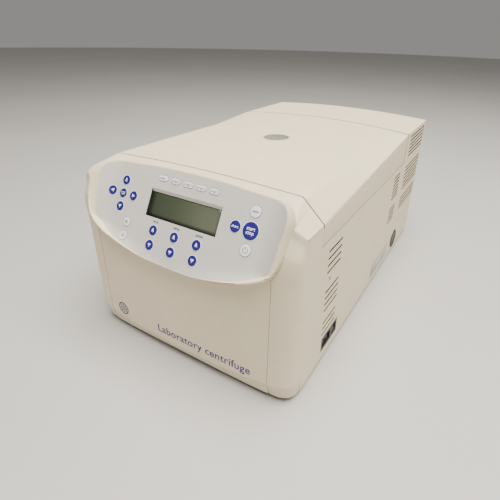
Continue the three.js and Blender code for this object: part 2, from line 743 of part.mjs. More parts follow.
// Refrigeration: compressor, condenser with its fan, and the pipe between them
const COMPRESSOR = [-100, 242];
const compressorProfile = [
  [0, BASE_Z + 2.8],
  [64, BASE_Z + 2.8],
  [64, BASE_Z + 6],
  [56, 22],
  [58, 30],
  [58, 150],
  [48, 172],
  [24, 182],
  [0, 184],
];
add("compressor", turned(compressorProfile, ...COMPRESSOR), BLACK_PAINT);

const FAN_Y = 243;
const FAN_Z = 150;
const FAN_R = 52;
let condenser = box([132, FAN_Y - 62, FAN_Z - 90], [182, FAN_Y + 62, FAN_Z + 90]);
condenser = condenser.subtract(rod(X, [140, FAN_Y, FAN_Z], FAN_R + 3, 24, 32));
for (const z of steps(10, FAN_Z - 80, FAN_Z + 75))
  condenser = condenser.subtract(box([158, FAN_Y - 58, z], [183, FAN_Y + 58, z + 6]));
add("condenser", condenser, ALUMINIUM);

const hub = rod(X, [141, FAN_Y, FAN_Z], 16, 14, 20);
const blades = steps(6, 0, 2 * Math.PI)
  .slice(0, -1)
  .map((angle) => {
    const geometry = new THREE.BoxGeometry(2, 24, FAN_R - 12);
    geometry.rotateZ(0.6);
    geometry.translate(0, 0, 12 + (FAN_R - 12) / 2);
    geometry.rotateX(angle);
    geometry.translate(141, FAN_Y, FAN_Z);
    return solid(geometry);
  });
add("condenser_fan", join(hub, ...blades), DARK);

const PIPE_R = 4;
const pipeRoute = new THREE.CatmullRomCurve3([
  new THREE.Vector3(COMPRESSOR[0], COMPRESSOR[1], 184.5),
  new THREE.Vector3(COMPRESSOR[0], COMPRESSOR[1], 205),
  new THREE.Vector3(COMPRESSOR[0] + 20, COMPRESSOR[1], 222),
  new THREE.Vector3(0, COMPRESSOR[1], 226),
  new THREE.Vector3(80, COMPRESSOR[1], 226),
  new THREE.Vector3(110, COMPRESSOR[1], 224),
  new THREE.Vector3(131, COMPRESSOR[1], 224),
]);
const pipeSection = new THREE.Shape(circle(0, 0, PIPE_R, 8).map(([u, v]) => new THREE.Vector2(u, v)));
const pipe = new THREE.ExtrudeGeometry(pipeSection, { steps: 18, extrudePath: pipeRoute });
add("refrigerant_pipe", solid(pipe), COPPER);

// Mains inlet and its rocker switch, low on the right side
const SOCKET = { y0: -211, y1: -182, z0: 28, z1: 47 };
const ROCKER = { y0: -176, y1: -160, z0: 28.4, z1: 46.6 };
const { y0: inletFront, y1: inletBack, z0: inletLow, z1: inletHigh } = INLET;
const inlet = box([HALF - 26, inletFront, inletLow], [HALF, inletBack, inletHigh])
  .subtract(box([HALF - 18, SOCKET.y0, SOCKET.z0], [HALF + 1, SOCKET.y1, SOCKET.z1]))
  .subtract(box([HALF - 16, ROCKER.y0, ROCKER.z0], [HALF + 1, ROCKER.y1, ROCKER.z1]));
add("power_inlet", inlet, DARK);

const rockerMiddle = [(ROCKER.y0 + ROCKER.y1) / 2, (ROCKER.z0 + ROCKER.z1) / 2];
const ROCKER_HALF = 7.2;
const rockerProfile = [
  [rockerMiddle[1] - ROCKER_HALF, HALF - 1],
  [rockerMiddle[1], HALF - 2.4],
  [rockerMiddle[1] + ROCKER_HALF, HALF - 3.4],
  [rockerMiddle[1] + 4, HALF - 11],
  [rockerMiddle[1] - 4, HALF - 11],
];
const rocker = prism(
  rockerProfile.map(([z, x]) => [x, z]),
  -(rockerMiddle[0] + 6.6),
  -(rockerMiddle[0] - 6.6),
  [X, Z, Y.clone().negate()],
);
add("mains_switch", rocker, DARK);

export default machine;
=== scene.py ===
"""The looks of a refrigerated bench-top laboratory centrifuge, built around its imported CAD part."""

import math

import bmesh
import bpy
from mathutils import Matrix, Vector


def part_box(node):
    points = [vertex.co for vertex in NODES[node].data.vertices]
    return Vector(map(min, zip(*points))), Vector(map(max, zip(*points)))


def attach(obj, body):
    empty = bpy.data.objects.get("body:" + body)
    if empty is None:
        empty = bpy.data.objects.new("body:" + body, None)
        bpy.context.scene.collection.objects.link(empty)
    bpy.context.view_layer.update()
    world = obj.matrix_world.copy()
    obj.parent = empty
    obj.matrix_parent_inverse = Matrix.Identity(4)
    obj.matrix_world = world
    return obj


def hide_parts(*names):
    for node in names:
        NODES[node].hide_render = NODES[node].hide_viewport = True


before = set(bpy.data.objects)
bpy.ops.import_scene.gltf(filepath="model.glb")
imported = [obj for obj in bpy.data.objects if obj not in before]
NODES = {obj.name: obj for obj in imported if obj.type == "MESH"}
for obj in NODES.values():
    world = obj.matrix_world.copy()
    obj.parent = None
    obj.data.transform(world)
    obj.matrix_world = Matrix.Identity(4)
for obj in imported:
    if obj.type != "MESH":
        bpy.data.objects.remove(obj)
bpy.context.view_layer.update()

MM = 0.001

# ---- dimensions in millimetres, the same as the CAD part's ----
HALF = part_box("lid_shell")[1].x / MM
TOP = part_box("lid_shell")[1].z / MM
LID_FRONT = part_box("lid_shell")[0].y / MM
LID_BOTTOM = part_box("lid_shell")[0].z / MM
EDGE_Z = 283.5  # long top edges of the casing
CROWN = TOP - EDGE_Z
FRONT_SEAM = 2.2  # between the lid and the strip in front of it
WALL = 2.5
SHOULDER_X = 160
SHOULDER_DROP = 27.5
LID_REAR = 150.6
REAR_BOW = 16
BACK_Y = 314
BACK_BOW = 6
COVER_FRONT = 153.2
BASE_Z = 9.3
ROTOR_Y = -35
PANEL_TILT = math.radians(60)
PANEL_Y = -280.5
PANEL_Z = 240.5
FRONT_SEAM_X = 155


# ---- small geometry helpers; points are in millimetres until a mesh is made ----
def lerp(a, b, t):
    return a + (b - a) * t


def top_at(x):
    return EDGE_Z + CROWN * (1 - (x / HALF) ** 2)


def bow(x, amount):
    return amount * (1 - (x / HALF) ** 2)


def panel_point(x, s, h=0.0):
    """x across the control panel, s up it and h off it, as a point of the shared frame."""
    cos, sin = math.cos(PANEL_TILT), math.sin(PANEL_TILT)
    return Vector((x, PANEL_Y + s * cos - h * sin, PANEL_Z + s * sin + h * cos))


def panel_rise(x, s):
    """How far the panel's face has bent up, off its flat middle, towards its ends and its lip."""
    ends = 0.01 * max(abs(x) - 125, 0) ** 2
    outward_share = min(abs(x) / 128, 1)
    lip_s = -79 + 20.5 * outward_share**2
    near_lip = min(max(1 - (s - lip_s) / 16, 0), 1)
    return ends + 7.5 * outward_share**1.5 * near_lip**2


def face_point(x, s, h=0.0):
    """A point h above the panel's face."""
    return panel_point(x, s, h + panel_rise(x, s))


def panel_box(node):
    """Centre (x, s), half width and highest h of a CAD node, along the control panel's axes."""
    cos, sin = math.cos(PANEL_TILT), math.sin(PANEL_TILT)
    xs, ss, hs = [], [], []
    for vertex in NODES[node].data.vertices:
        x, y, z = vertex.co / MM
        xs.append(x)
        ss.append((y - PANEL_Y) * cos + (z - PANEL_Z) * sin)
        hs.append(-(y - PANEL_Y) * sin + (z - PANEL_Z) * cos)
    top = max(hs)
    return (min(xs) + max(xs)) / 2, (min(ss) + max(ss)) / 2, (max(xs) - min(xs)) / 2, top


def spline(points, per_segment):
    """A smooth curve through the points, as a list of Vectors."""
    points = [Vector(p) for p in points]
    out = []
    for i in range(len(points) - 1):
        p1, p2 = points[i], points[i + 1]
        p0 = points[i - 1] if i else p1 * 2 - p2
        p3 = points[i + 2] if i + 2 < len(points) else p2 * 2 - p1
        for k in range(per_segment):
            t = k / per_segment
            square = (p0 * 2 - p1 * 5 + p2 * 4 - p3) * t**2
            cube = (p1 * 3 - p0 - p2 * 3 + p3) * t**3
            out.append((p1 * 2 + (p2 - p0) * t + square + cube) / 2)
    out.append(points[-1])
    return out


class Sheet:
    """Collects grids of points as one mesh, welded where they meet."""

    def __init__(self):
        self.verts = []
        self.faces = []
        self.index = {}
        self.weights = {}

    def add(self, point):
        key = tuple(round(c, 3) for c in point)
        if key not in self.index:
            self.index[key] = len(self.verts)
            self.verts.append(Vector(point))
        return self.index[key]

    def grid(self, rows, flip=False):
        ids = [[self.add(p) for p in row] for row in rows]
        for a, b in zip(ids, ids[1:]):
            for i in range(len(a) - 1):
                face = [a[i], a[i + 1], b[i + 1], b[i]]
                face = [v for k, v in enumerate(face) if v != face[k - 1]]
                if len(set(face)) > 2:
                    self.faces.append(face[::-1] if flip else face)

    def polygon(self, points, flip=False):
        face = [self.add(p) for p in points]
        self.faces.append(face[::-1] if flip else face)

    def soften(self, points, weight=1.0):
        ids = [self.add(p) for p in points]
        for a, b in zip(ids, ids[1:]):
            self.weights[frozenset((a, b))] = weight

    def mirror(self):
        """Adds the same mesh on the other side of x = 0."""
        count = len(self.verts)
        other = [self.add((-v.x, v.y, v.z)) for v in self.verts[:count]]
        self.faces += [[other[v] for v in face][::-1] for face in list(self.faces)]
        for edge, weight in list(self.weights.items()):
            self.weights[frozenset(other[v] for v in edge)] = weight

    def build(self, name):
        mesh = bpy.data.meshes.new(name)
        mesh.from_pydata([v * MM for v in self.verts], [], self.faces)
        bm = bmesh.new()
        bm.from_mesh(mesh)
        layer = bm.edges.layers.float.new("bevel_weight_edge")
        bm.verts.ensure_lookup_table()
        for edge in bm.edges:
            key = frozenset((edge.verts[0].index, edge.verts[1].index))
            edge[layer] = self.weights.get(key, 0.0)
        bmesh.ops.dissolve_degenerate(bm, dist=1e-7, edges=bm.edges)
        bm.to_mesh(mesh)
        bm.free()
        obj = bpy.data.objects.new(name, mesh)
        bpy.context.scene.collection.objects.link(obj)
        mesh.shade_smooth()
        return obj


def soft_edges(obj, width, segments=3, by_weight=True, angle=30):
    bevel = obj.modifiers.new("soft_edges", "BEVEL")
    bevel.width = width * MM
    bevel.segments = segments
    bevel.limit_method = "WEIGHT" if by_weight else "ANGLE"
    bevel.angle_limit = math.radians(angle)
    bevel.use_clamp_overlap = True
    bevel.miter_outer = "MITER_ARC"


def thicken(obj, thickness):
    solid = obj.modifiers.new("thickness", "SOLIDIFY")
    solid.thickness = thickness * MM
    solid.offset = -1
    solid.use_even_offset = False


def film(obj, thickness, offset=1):
    solid = obj.modifiers.new("film", "SOLIDIFY")
    solid.thickness = thickness * MM
    solid.offset = offset


def weighted(obj):
    normals = obj.modifiers.new("normals", "WEIGHTED_NORMAL")
    normals.keep_sharp = True
    normals.weight = 80


def apply_modifiers(obj):
    """Makes the shape with its modifiers the piece's own mesh."""
    bpy.context.view_layer.update()
    evaluated = obj.evaluated_get(bpy.context.evaluated_depsgraph_get())
    mesh = bpy.data.meshes.new_from_object(evaluated)
    obj.modifiers.clear()
    obj.data = mesh


def cut(obj, cutter):
    """Takes the cutter's shape out of the piece, and removes the cutter."""
    boolean = obj.modifiers.new("cut", "BOOLEAN")
    boolean.operation = "DIFFERENCE"
    boolean.solver = "EXACT"
    boolean.object = cutter
    apply_modifiers(obj)
    bpy.data.objects.remove(cutter)


def lathe(name, profile, centre=(0, 0), segments=72, closed=True):
    """A turned piece about the vertical line through centre, from (radius, z) points."""
    sheet = Sheet()
    rows = []
    chain = profile + (profile[:1] if closed else [])
    x, y = centre
    for k in range(segments + 1):
        a = 2 * math.pi * (k % segments) / segments
        rows.append([Vector((x + r * math.cos(a), y + r * math.sin(a), z)) for r, z in chain])
    sheet.grid(rows)
    obj = sheet.build(name)
    outward(obj)
    return obj


def outward(obj):
    bm = bmesh.new()
    bm.from_mesh(obj.data)
    bmesh.ops.recalc_face_normals(bm, faces=bm.faces)
    bm.to_mesh(obj.data)
    bm.free()


def rounded(points, radius, steps=4):
    """An open or closed chain of 2-D points with its inner corners rounded."""
    out = [points[0]]
    for a, b, c in zip(points, points[1:], points[2:]):
        a, b, c = Vector(a), Vector(b), Vector(c)
        r = min(radius, (a - b).length * 0.45, (c - b).length * 0.45)
        start = b + (a - b).normalized() * r
        end = b + (c - b).normalized() * r
        for k in range(steps + 1):
            t = k / steps
            out.append(tuple(lerp(lerp(start, b, t), lerp(b, end, t), t)))
    out.append(points[-1])
    return out


# ---- materials ----
def linear(red, green, blue):
    def channel(c):
        c /= 255
        return c / 12.92 if c <= 0.04045 else ((c + 0.055) / 1.055) ** 2.4

    return (channel(red), channel(green), channel(blue), 1)


class Shader:
    """A node material with a Principled surface and a few procedural helpers."""

    def __init__(self, name):
        self.material = bpy.data.materials.new(name)
        self.material.use_nodes = True
        self.nodes = self.material.node_tree.nodes
        self.links = self.material.node_tree.links
        self.surface = self.nodes["Principled BSDF"]
        self.coordinates = self.nodes.new("ShaderNodeTexCoord")

    def set(self, **values):
        for name, value in values.items():
            self.surface.inputs[name.replace("_", " ")].default_value = value

    def noise(self, scale, detail=3.0, roughness=0.5, stretch=None):
        node = self.nodes.new("ShaderNodeTexNoise")
        node.inputs["Scale"].default_value = scale
        node.inputs["Detail"].default_value = detail
        node.inputs["Roughness"].default_value = roughness
        source = self.coordinates.outputs["Object"]
        if stretch:
            mapping = self.nodes.new("ShaderNodeMapping")
            mapping.inputs["Scale"].default_value = stretch
            self.links.new(source, mapping.inputs["Vector"])
            source = mapping.outputs["Vector"]
        self.links.new(source, node.inputs["Vector"])
        return node.outputs["Fac"]

    def ramp(self, factor, low, high, stops):
        """Colours between two levels of a factor."""
        node = self.nodes.new("ShaderNodeValToRGB")
        self.links.new(factor, node.inputs["Fac"])
        elements = node.color_ramp.elements
        elements[0].position, elements[0].color = low, stops[0]
        elements[1].position, elements[1].color = high, stops[-1]
        for k, stop in enumerate(stops[1:-1], 1):
            element = elements.new(lerp(low, high, k / (len(stops) - 1)))
            element.color = stop
        return node.outputs["Color"]

    def mix(self, factor, first, second, blend="MIX"):
        node = self.nodes.new("ShaderNodeMix")
        node.data_type = "RGBA"
        node.blend_type = blend
        for socket, value in ((0, factor), (6, first), (7, second)):
            if isinstance(value, bpy.types.NodeSocket):
                self.links.new(value, node.inputs[socket])
            else:
                node.inputs[socket].default_value = value
        return node.outputs[2]

    def level(self, factor, low, high, to_low, to_high):
        node = self.nodes.new("ShaderNodeMapRange")
        self.links.new(factor, node.inputs["Value"])
        names = ("From Min", "From Max", "To Min", "To Max")
        for name, value in zip(names, (low, high, to_low, to_high)):
            node.inputs[name].default_value = value
        return node.outputs["Result"]

    def bump(self, height, strength, distance):
        node = self.nodes.new("ShaderNodeBump")
        node.inputs["Strength"].default_value = strength
        node.inputs["Distance"].default_value = distance
        self.links.new(height, node.inputs["Height"])
        if self.surface.inputs["Normal"].is_linked:
            previous = self.surface.inputs["Normal"].links[0].from_socket
            self.links.new(previous, node.inputs["Normal"])
        self.links.new(node.outputs["Normal"], self.surface.inputs["Normal"])

    def plug(self, output, name):
        self.links.new(output, self.surface.inputs[name])


def moulded_plastic(name, colour, tint, roughness, grain=0.25, grain_scale=1500):
    """Moulded plastic: a slow drift of colour, an eroded grain, and a few rubbed patches."""
    shader = Shader(name)
    drift = shader.noise(3.2, 2)
    base = shader.ramp(drift, 0.36, 0.66, [linear(*colour), linear(*tint)])
    mottle = shader.noise(60, 4)
    speckle = shader.ramp(mottle, 0.3, 0.75, [(0.955,) * 3 + (1,), (1, 1, 1, 1)])
    shader.plug(shader.mix(1.0, base, speckle, "MULTIPLY"), "Base Color")
    rubbed = shader.noise(18, 5, 0.6)
    rough = shader.level(rubbed, 0.35, 0.7, roughness - 0.06, roughness + 0.08)
    shader.plug(rough, "Roughness")
    shader.bump(shader.noise(grain_scale, 2), grain, 0.00006)
    shader.bump(shader.noise(7, 1), 0.12, 0.0008)
    shader.set(IOR=1.5)
    return shader.material


def brushed_metal(name, colour, roughness, stretch=(1, 1, 60)):
    shader = Shader(name)
    lines = shader.noise(90, 4, 0.6, stretch)
    light = linear(*colour)
    dark = tuple(c * 0.82 for c in light[:3]) + (1,)
    shader.plug(shader.ramp(lines, 0.3, 0.7, [dark, light]), "Base Color")
    shader.plug(shader.level(lines, 0.3, 0.7, roughness + 0.1, roughness - 0.05), "Roughness")
    shader.bump(lines, 0.15, 0.00005)
    shader.set(Metallic=1.0)
    return shader.material


def plain_finish(name, colour, roughness, grain=0.2, metallic=0.0, spread=0.08):
    """Paint, rubber or printed film: a mottled colour and a fine grain."""
    shader = Shader(name)
    mottle = shader.noise(45, 4)
    base = linear(*colour)
    low = tuple(max(c * (1 - spread), 0) for c in base[:3]) + (1,)
    high = tuple(min(c * (1 + spread), 1) for c in base[:3]) + (1,)
    shader.plug(shader.ramp(mottle, 0.3, 0.7, [low, high]), "Base Color")
    shader.plug(shader.level(mottle, 0.3, 0.7, roughness + 0.05, roughness - 0.05), "Roughness")
    shader.bump(shader.noise(900, 2), grain, 0.00005)
    shader.set(Metallic=metallic)
    return shader.material


def display_glass(name):
    """An unlit liquid-crystal display: grey-green, with a painted reflection that makes it lighter to
    the lower right, and faint dots.
    """
    shader = Shader(name)
    split = shader.nodes.new("ShaderNodeSeparateXYZ")
    shader.links.new(shader.coordinates.outputs["Object"], split.inputs["Vector"])
    # Painted reflection: the glass grows lighter towards +x, mixed with a random cloud of tone.
    across = shader.level(split.outputs["X"], -0.062, 0.062, 0.0, 1.0)
    cloud = shader.noise(14, 2)
    painted_sheen_mix = shader.nodes.new("ShaderNodeMath")
    painted_sheen_mix.operation = "MULTIPLY_ADD"
    shader.links.new(cloud, painted_sheen_mix.inputs[0])
    painted_sheen_mix.inputs[1].default_value = 0.35
    shader.links.new(across, painted_sheen_mix.inputs[2])
    stops = [linear(50, 57, 45), linear(66, 73, 58), linear(84, 89, 73)]
    shader.plug(shader.ramp(painted_sheen_mix.outputs[0], 0.1, 1.15, stops), "Base Color")
    shader.set(Roughness=0.16, IOR=1.45)
    shader.surface.inputs["Specular IOR Level"].default_value = 0.35
    shader.bump(shader.noise(2200, 1), 0.05, 0.00003)
    return shader.material


def smoked_glass(name):
    shader = Shader(name)
    cloud = shader.noise(30, 3)
    stops = [linear(122, 120, 106), linear(148, 146, 130)]
    shader.plug(shader.ramp(cloud, 0.3, 0.7, stops), "Base Color")
    shader.plug(shader.level(cloud, 0.3, 0.7, 0.12, 0.2), "Roughness")
    shader.set(IOR=1.5)
    return shader.material


CREAM = moulded_plastic("cream_plastic", (230, 214, 186), (224, 211, 180), 0.5)
LINER = moulded_plastic("grey_liner_plastic", (158, 159, 156), (150, 152, 150), 0.55)
MEMBRANE = moulded_plastic("panel_film", (203, 199, 192), (198, 195, 188), 0.42, 0.12, 2600)
RING_GREY = moulded_plastic("ring_plastic", (196, 192, 180), (190, 187, 176), 0.4)
BLACK_PLASTIC = moulded_plastic("black_plastic", (26, 26, 27), (32, 32, 33), 0.45)
KEY_BLUE = plain_finish("blue_film", (22, 12, 112), 0.42)
KEY_WHITE = plain_finish("white_film", (236, 236, 240), 0.42, spread=0.02)
PRINT_BLUE = plain_finish("blue_print", (26, 18, 108), 0.5)
PRINT_GREY = plain_finish("grey_print", (62, 60, 84), 0.5)
RUBBER = plain_finish("black_rubber", (27, 27, 28), 0.8, 0.5)
DARK_PAINT = plain_finish("black_paint", (30, 32, 34), 0.45)
PLATE_FILM = plain_finish("plate_film", (176, 175, 168), 0.35, 0.1, 0.2)
STEEL = brushed_metal("stainless_steel", (190, 192, 194), 0.28)
PLAIN_STEEL = brushed_metal("plated_steel", (176, 178, 180), 0.36, (60, 1, 1))
ALUMINIUM = brushed_metal("machined_aluminium", (196, 198, 201), 0.32, (1, 1, 40))
FINS = brushed_metal("condenser_fins", (178, 180, 182), 0.4, (1, 40, 1))
COPPER = brushed_metal("copper_pipe", (190, 118, 78), 0.3, (30, 1, 1))
BOARD = plain_finish("circuit_board", (36, 92, 52), 0.5)
DISPLAY = display_glass("liquid_crystal")
GLASS = smoked_glass("smoked_glass")


def dress(obj, material):
    obj.data.materials.clear()
    obj.data.materials.append(material)
    return obj


def place(obj, material, body, slot, *nodes):
    """The finish, body and CAD nodes of a new piece. The slot argument is not used."""
    dress(obj, material)
    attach(obj, body)
    if nodes:
        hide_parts(*nodes)
    return obj


def turned(name, profile, material, body, slot, *nodes, at=(0, ROTOR_Y), segments=120, closed=True):
    """A finished turned piece, about the rotor's axis unless another place is given."""
    obj = lathe(name, profile, at, segments, closed)
    weighted(obj)
    return place(obj, material, body, slot, *nodes)


# ---- camera and lights, in metres and degrees ----
CAMERA_ANGLES = (28.855, 29.043, 1.569)  # azimuth, elevation and roll
CAMERA_AT = (0.3413, -0.6123, 0.4602)
CAMERA_LENS = 27.11
CAMERA_SHIFT = (-0.07, -0.0268)
CEILING_AT = (0.6, -0.15, 2.5)
CEILING_POWER = 212
FILL_AT = (-0.7, -2.4, 1.0)
FILL_POWER = 6


def make_camera():
    azimuth, elevation, roll = (math.radians(a) for a in CAMERA_ANGLES)
    right = Vector((math.cos(azimuth), math.sin(azimuth), 0))
    level = math.cos(elevation)
    back = Vector((math.sin(azimuth) * level, -math.cos(azimuth) * level, math.sin(elevation)))
    up = back.cross(right)
    turned_right = right * math.cos(roll) + up * math.sin(roll)
    turned_up = up * math.cos(roll) - right * math.sin(roll)
    camera = bpy.data.objects.new("camera", bpy.data.cameras.new("camera"))
    bpy.context.scene.collection.objects.link(camera)
    pose = Matrix((turned_right, turned_up, back)).transposed().to_4x4()
    camera.matrix_world = Matrix.Translation(CAMERA_AT) @ pose
    camera.data.sensor_width = 36
    camera.data.lens = CAMERA_LENS
    camera.data.shift_x, camera.data.shift_y = CAMERA_SHIFT
    camera.data.clip_start = 0.01
    bpy.context.scene.camera = camera


def area_light(name, place_at, target, size, power, colour=(1, 1, 1)):
    light = bpy.data.lights.new(name, "AREA")
    light.shape = "RECTANGLE"
    light.size, light.size_y = size
    light.energy = power
    light.color = colour
    obj = bpy.data.objects.new(name, light)
    bpy.context.scene.collection.objects.link(obj)
    obj.location = place_at
    obj.rotation_mode = "QUATERNION"
    obj.rotation_quaternion = (Vector(target) - Vector(place_at)).to_track_quat("-Z", "Y")


def make_light():
    world = bpy.data.worlds.new("studio")
    bpy.context.scene.world = world
    world.use_nodes = True
    background = world.node_tree.nodes["Background"]
    background.inputs["Color"].default_value = (1.0, 0.97, 0.93, 1)
    background.inputs["Strength"].default_value = 0.28
    area_light("ceiling", CEILING_AT, (0, 0, 0.2), (2.2, 2.2), CEILING_POWER, (1, 0.96, 0.89))
    area_light("front_fill", FILL_AT, (0, -0.2, 0.15), (1.8, 1.2), FILL_POWER, (1, 0.98, 0.95))


def make_floor():
    sheet = Sheet()
    reach = 9000
    rings = [0, 400, 900, 2000, 4500, reach]
    rows = []
    for k in range(49):
        a = 2 * math.pi * (k % 48) / 48
        rows.append([Vector((r * math.cos(a), r * math.sin(a), 0)) for r in rings])
    sheet.grid(rows)
    floor = sheet.build("floor")
    shader = Shader("pale_floor")
    cloud = shader.noise(1.5, 3)
    stops = [linear(182, 180, 176), linear(188, 186, 182)]
    shader.plug(shader.ramp(cloud, 0.3, 0.7, stops), "Base Color")
    shader.set(Roughness=0.55)
    dress(floor, shader.material)


# ---- lid and rear cover ----
def lid_height(x, y):
    """Top of the lid: crowned, with a shoulder at each side that fades towards the back."""
    ramp = min(max((abs(x) - SHOULDER_X) / (HALF - SHOULDER_X), 0), 1)
    along = (y - LID_FRONT) / (LID_REAR - LID_FRONT)
    return top_at(x) - SHOULDER_DROP * ramp * (1 - min(max(along, 0), 1))


def crown_columns(step_count=22):
    inner = [SHOULDER_X * k / step_count for k in range(step_count)]
    outer = [SHOULDER_X, 164, 172, 180, 186, HALF]
    half = inner + outer
    return [-x for x in half[:0:-1]] + half


def make_lid():
    columns = crown_columns()
    sheet = Sheet()
    shares = [0, 0.012] + [k / 24 for k in range(1, 24)] + [0.985, 1]
    rows = []
    for share in shares:
        row = []
        for x in columns:
            y = lerp(LID_FRONT, LID_REAR + bow(x, REAR_BOW), share)
            row.append(Vector((x, y, lid_height(x, y))))
        rows.append(row)
    sheet.grid(rows)
    left = [row[0] for row in rows]
    rear = rows[-1]

    def walls(edge, bottoms, flip):
        sheet.grid([edge, [Vector((p.x, p.y, lerp(p.z, b, 0.3))) for p, b in zip(edge, bottoms)],
                    [Vector((p.x, p.y, b)) for p, b in zip(edge, bottoms)]], flip)

    bottom = LID_BOTTOM
    side = [row[-1] for row in rows]
    for edge, flip in ((rows[0], True), (side, True), (left, False)):
        walls(edge, [bottom] * len(edge), flip)
    lip = [lid_height(x, LID_REAR) - 8 for x in columns]
    walls(rear, lip, False)
    sheet.soften(rows[0], 0.25)
    for edge in (side, left, rear):
        sheet.soften(edge, 1.0)
    for corner in (rows[0][0], rows[0][-1]):
        sheet.soften([corner, Vector((corner.x, corner.y, lerp(corner.z, bottom, 0.3))),
                      Vector((corner.x, corner.y, bottom))], 1.0)
    obj = sheet.build("lid_skin")
    outward(obj)
    soft_edges(obj, 2.2, 4)
    thicken(obj, WALL)
    apply_modifiers(obj)
    ring_lo, ring_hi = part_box("sight_glass_ring")
    radius = (ring_hi.x - ring_lo.x) / 2 / MM + 0.5
    hole = lathe("hole", [(0, 200), (radius, 200), (radius, 320), (0, 320)], (0, ROTOR_Y), 96)
    cut(obj, hole)
    obj.data.shade_smooth()
    weighted(obj)
    place(obj, CREAM, "lid", "casing", "lid_shell")


def make_rear_cover():
    columns = crown_columns()
    sheet = Sheet()
    shares = [0, 0.02] + [k / 10 for k in range(1, 10)] + [0.98, 1]
    rows = []
    for share in shares:
        row = []
        for x in columns:
            y = lerp(COVER_FRONT + bow(x, REAR_BOW), BACK_Y + bow(x, BACK_BOW), share)
            row.append(Vector((x, y, top_at(x))))
        rows.append(row)
    sheet.grid(rows)
    left = [row[0] for row in rows]
    right = [row[-1] for row in rows]
    panel_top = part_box("side_panel_right")[1].z / MM

    def wall(edge, bottom, flip):
        sheet.grid([edge, [Vector((p.x, p.y, bottom)) for p in edge]], flip)

    wall(rows[0], EDGE_Z - 9, True)
    wall(rows[-1], panel_top, False)
    wall(left, panel_top, False)
    wall(right, panel_top, True)
    sheet.soften(rows[0], 0.25)
    for edge in (rows[-1], left, right):
        sheet.soften(edge, 1.0)
    obj = sheet.build("rear_cover_skin")
    outward(obj)
    soft_edges(obj, 1.6, 3)
    thicken(obj, WALL - 0.3)
    weighted(obj)
    place(obj, CREAM, "housing", "casing", "rear_cover")


def seam_shade_strip(name, edge, depths, body):
    """A dark strip of painted shade on the wall below a seam's far edge, facing the front."""
    sheet = Sheet()
    sheet.grid([[Vector((p.x, p.y - 0.06, p.z - depth)) for p in edge] for depth in depths])
    strip = sheet.build(name)
    thicken(strip, 0.05)
    # The black rubber finish here is painted shade in the seam, not a seal.
    place(strip, RUBBER, body, "seal_rubber")


def make_seam_shade_strips():
    """Dark strips of painted shade on the lid's front edge and on the rear cover's, seen in the gaps
    before them.
    """
    columns = crown_columns()
    depths = (0.25, 2.5, 6)
    lid_edge = [Vector((x, LID_FRONT, lid_height(x, LID_FRONT))) for x in columns]
    cover_edge = [Vector((x, COVER_FRONT + bow(x, REAR_BOW), top_at(x))) for x in columns]
    seam_shade_strip("lid_front_shade_strip", lid_edge, depths, "lid")
    seam_shade_strip("rear_cover_shade_strip", cover_edge, depths, "housing")


# ---- the front: one moulding around the control panel, and the lower front panel ----
# The rim of the panel's bezel from the middle of its lip round the right end to the middle of
# its top edge, as (x, s, h), and the edge of the printed film inside it, as (x, s).
RIM = [
    (0, -79, 0), (42.7, -77.9, 1.5), (74, -73.4, 4), (101.7, -67.2, 6.5), (127.7, -58.5, 9),
    (146.4, -49.5, 10.8), (156.1, -42.8, 11.5), (162, -35, 12.3), (169, -13.5, 14.4),
    (171, 8, 16), (174.3, 20, 19), (168.4, 33, 13), (155, 44.5, 5), (134, 47, 1), (110, 49, 0),
    (60, 52.2, 0), (0, 53.6, 0),
]
FILM = [
    (0, -77.8), (42, -76.4), (73.6, -71.6), (101.4, -65), (126, -56.6), (142, -47.4),
    (149.5, -39.8), (153, -30.6), (155.4, -13), (157, 8), (158.4, 21), (156.4, 33), (147.6, 41.6),
    (132, 44.4), (109.4, 46.6), (60, 49.8), (0, 51.2),
]
RIM_STEPS = 5
SEAM_TOP = 6 * RIM_STEPS  # the rim's point above the front seam
LIP_TOP = 8 * RIM_STEPS  # where the lip leaves the corner pillar
RIDGE_TOP = 10 * RIM_STEPS  # where the rim meets the corner's arris
TOP_KINK = 13 * RIM_STEPS  # where the top strip starts to turn down
# The corner pillar's edge under the lip, from the lip's top to the front seam.
UNDER_LIP = [(169, -299.7, 236), (163, -303, 222), (157, -304.4, 208), (155, -304.6, 200)]
PILLAR_EDGE_Y = -283.5
PILLAR_FOOT_Z = 36


def front_surface(x, z):
    """y of the lower front, at a point of the middle panel."""
    middle = -307 - (200 - z) * 0.0568
    edge = -304.5 - (199 - z) * 0.0597
    return lerp(middle, edge, min(abs(x) / FRONT_SEAM_X, 1) ** 4)


def crease_height(x):
    return 24 + 10 * (abs(x) / FRONT_SEAM_X) ** 2


def rim_points():
    return [panel_point(*p) for p in spline(RIM, RIM_STEPS)]


def add_bezel(sheet):
    """The band between the film and the rim, hollow across its flank."""
    inner = spline([(x, s, 0) for x, s in FILM], RIM_STEPS)
    outer = spline(RIM, RIM_STEPS)
    bands = [0, 0.2, 0.4, 0.6, 0.8, 1]
    rows = []
    for band in bands:
        row = []
        for a, b in zip(inner, outer):
            h = lerp(panel_rise(a.x, a.y), b.z, band**1.8)
            row.append(panel_point(lerp(a.x, b.x, band), lerp(a.y, b.y, band), h))
        rows.append(row)
    sheet.grid(rows, True)
    sheet.soften(rows[-1], 1.0)


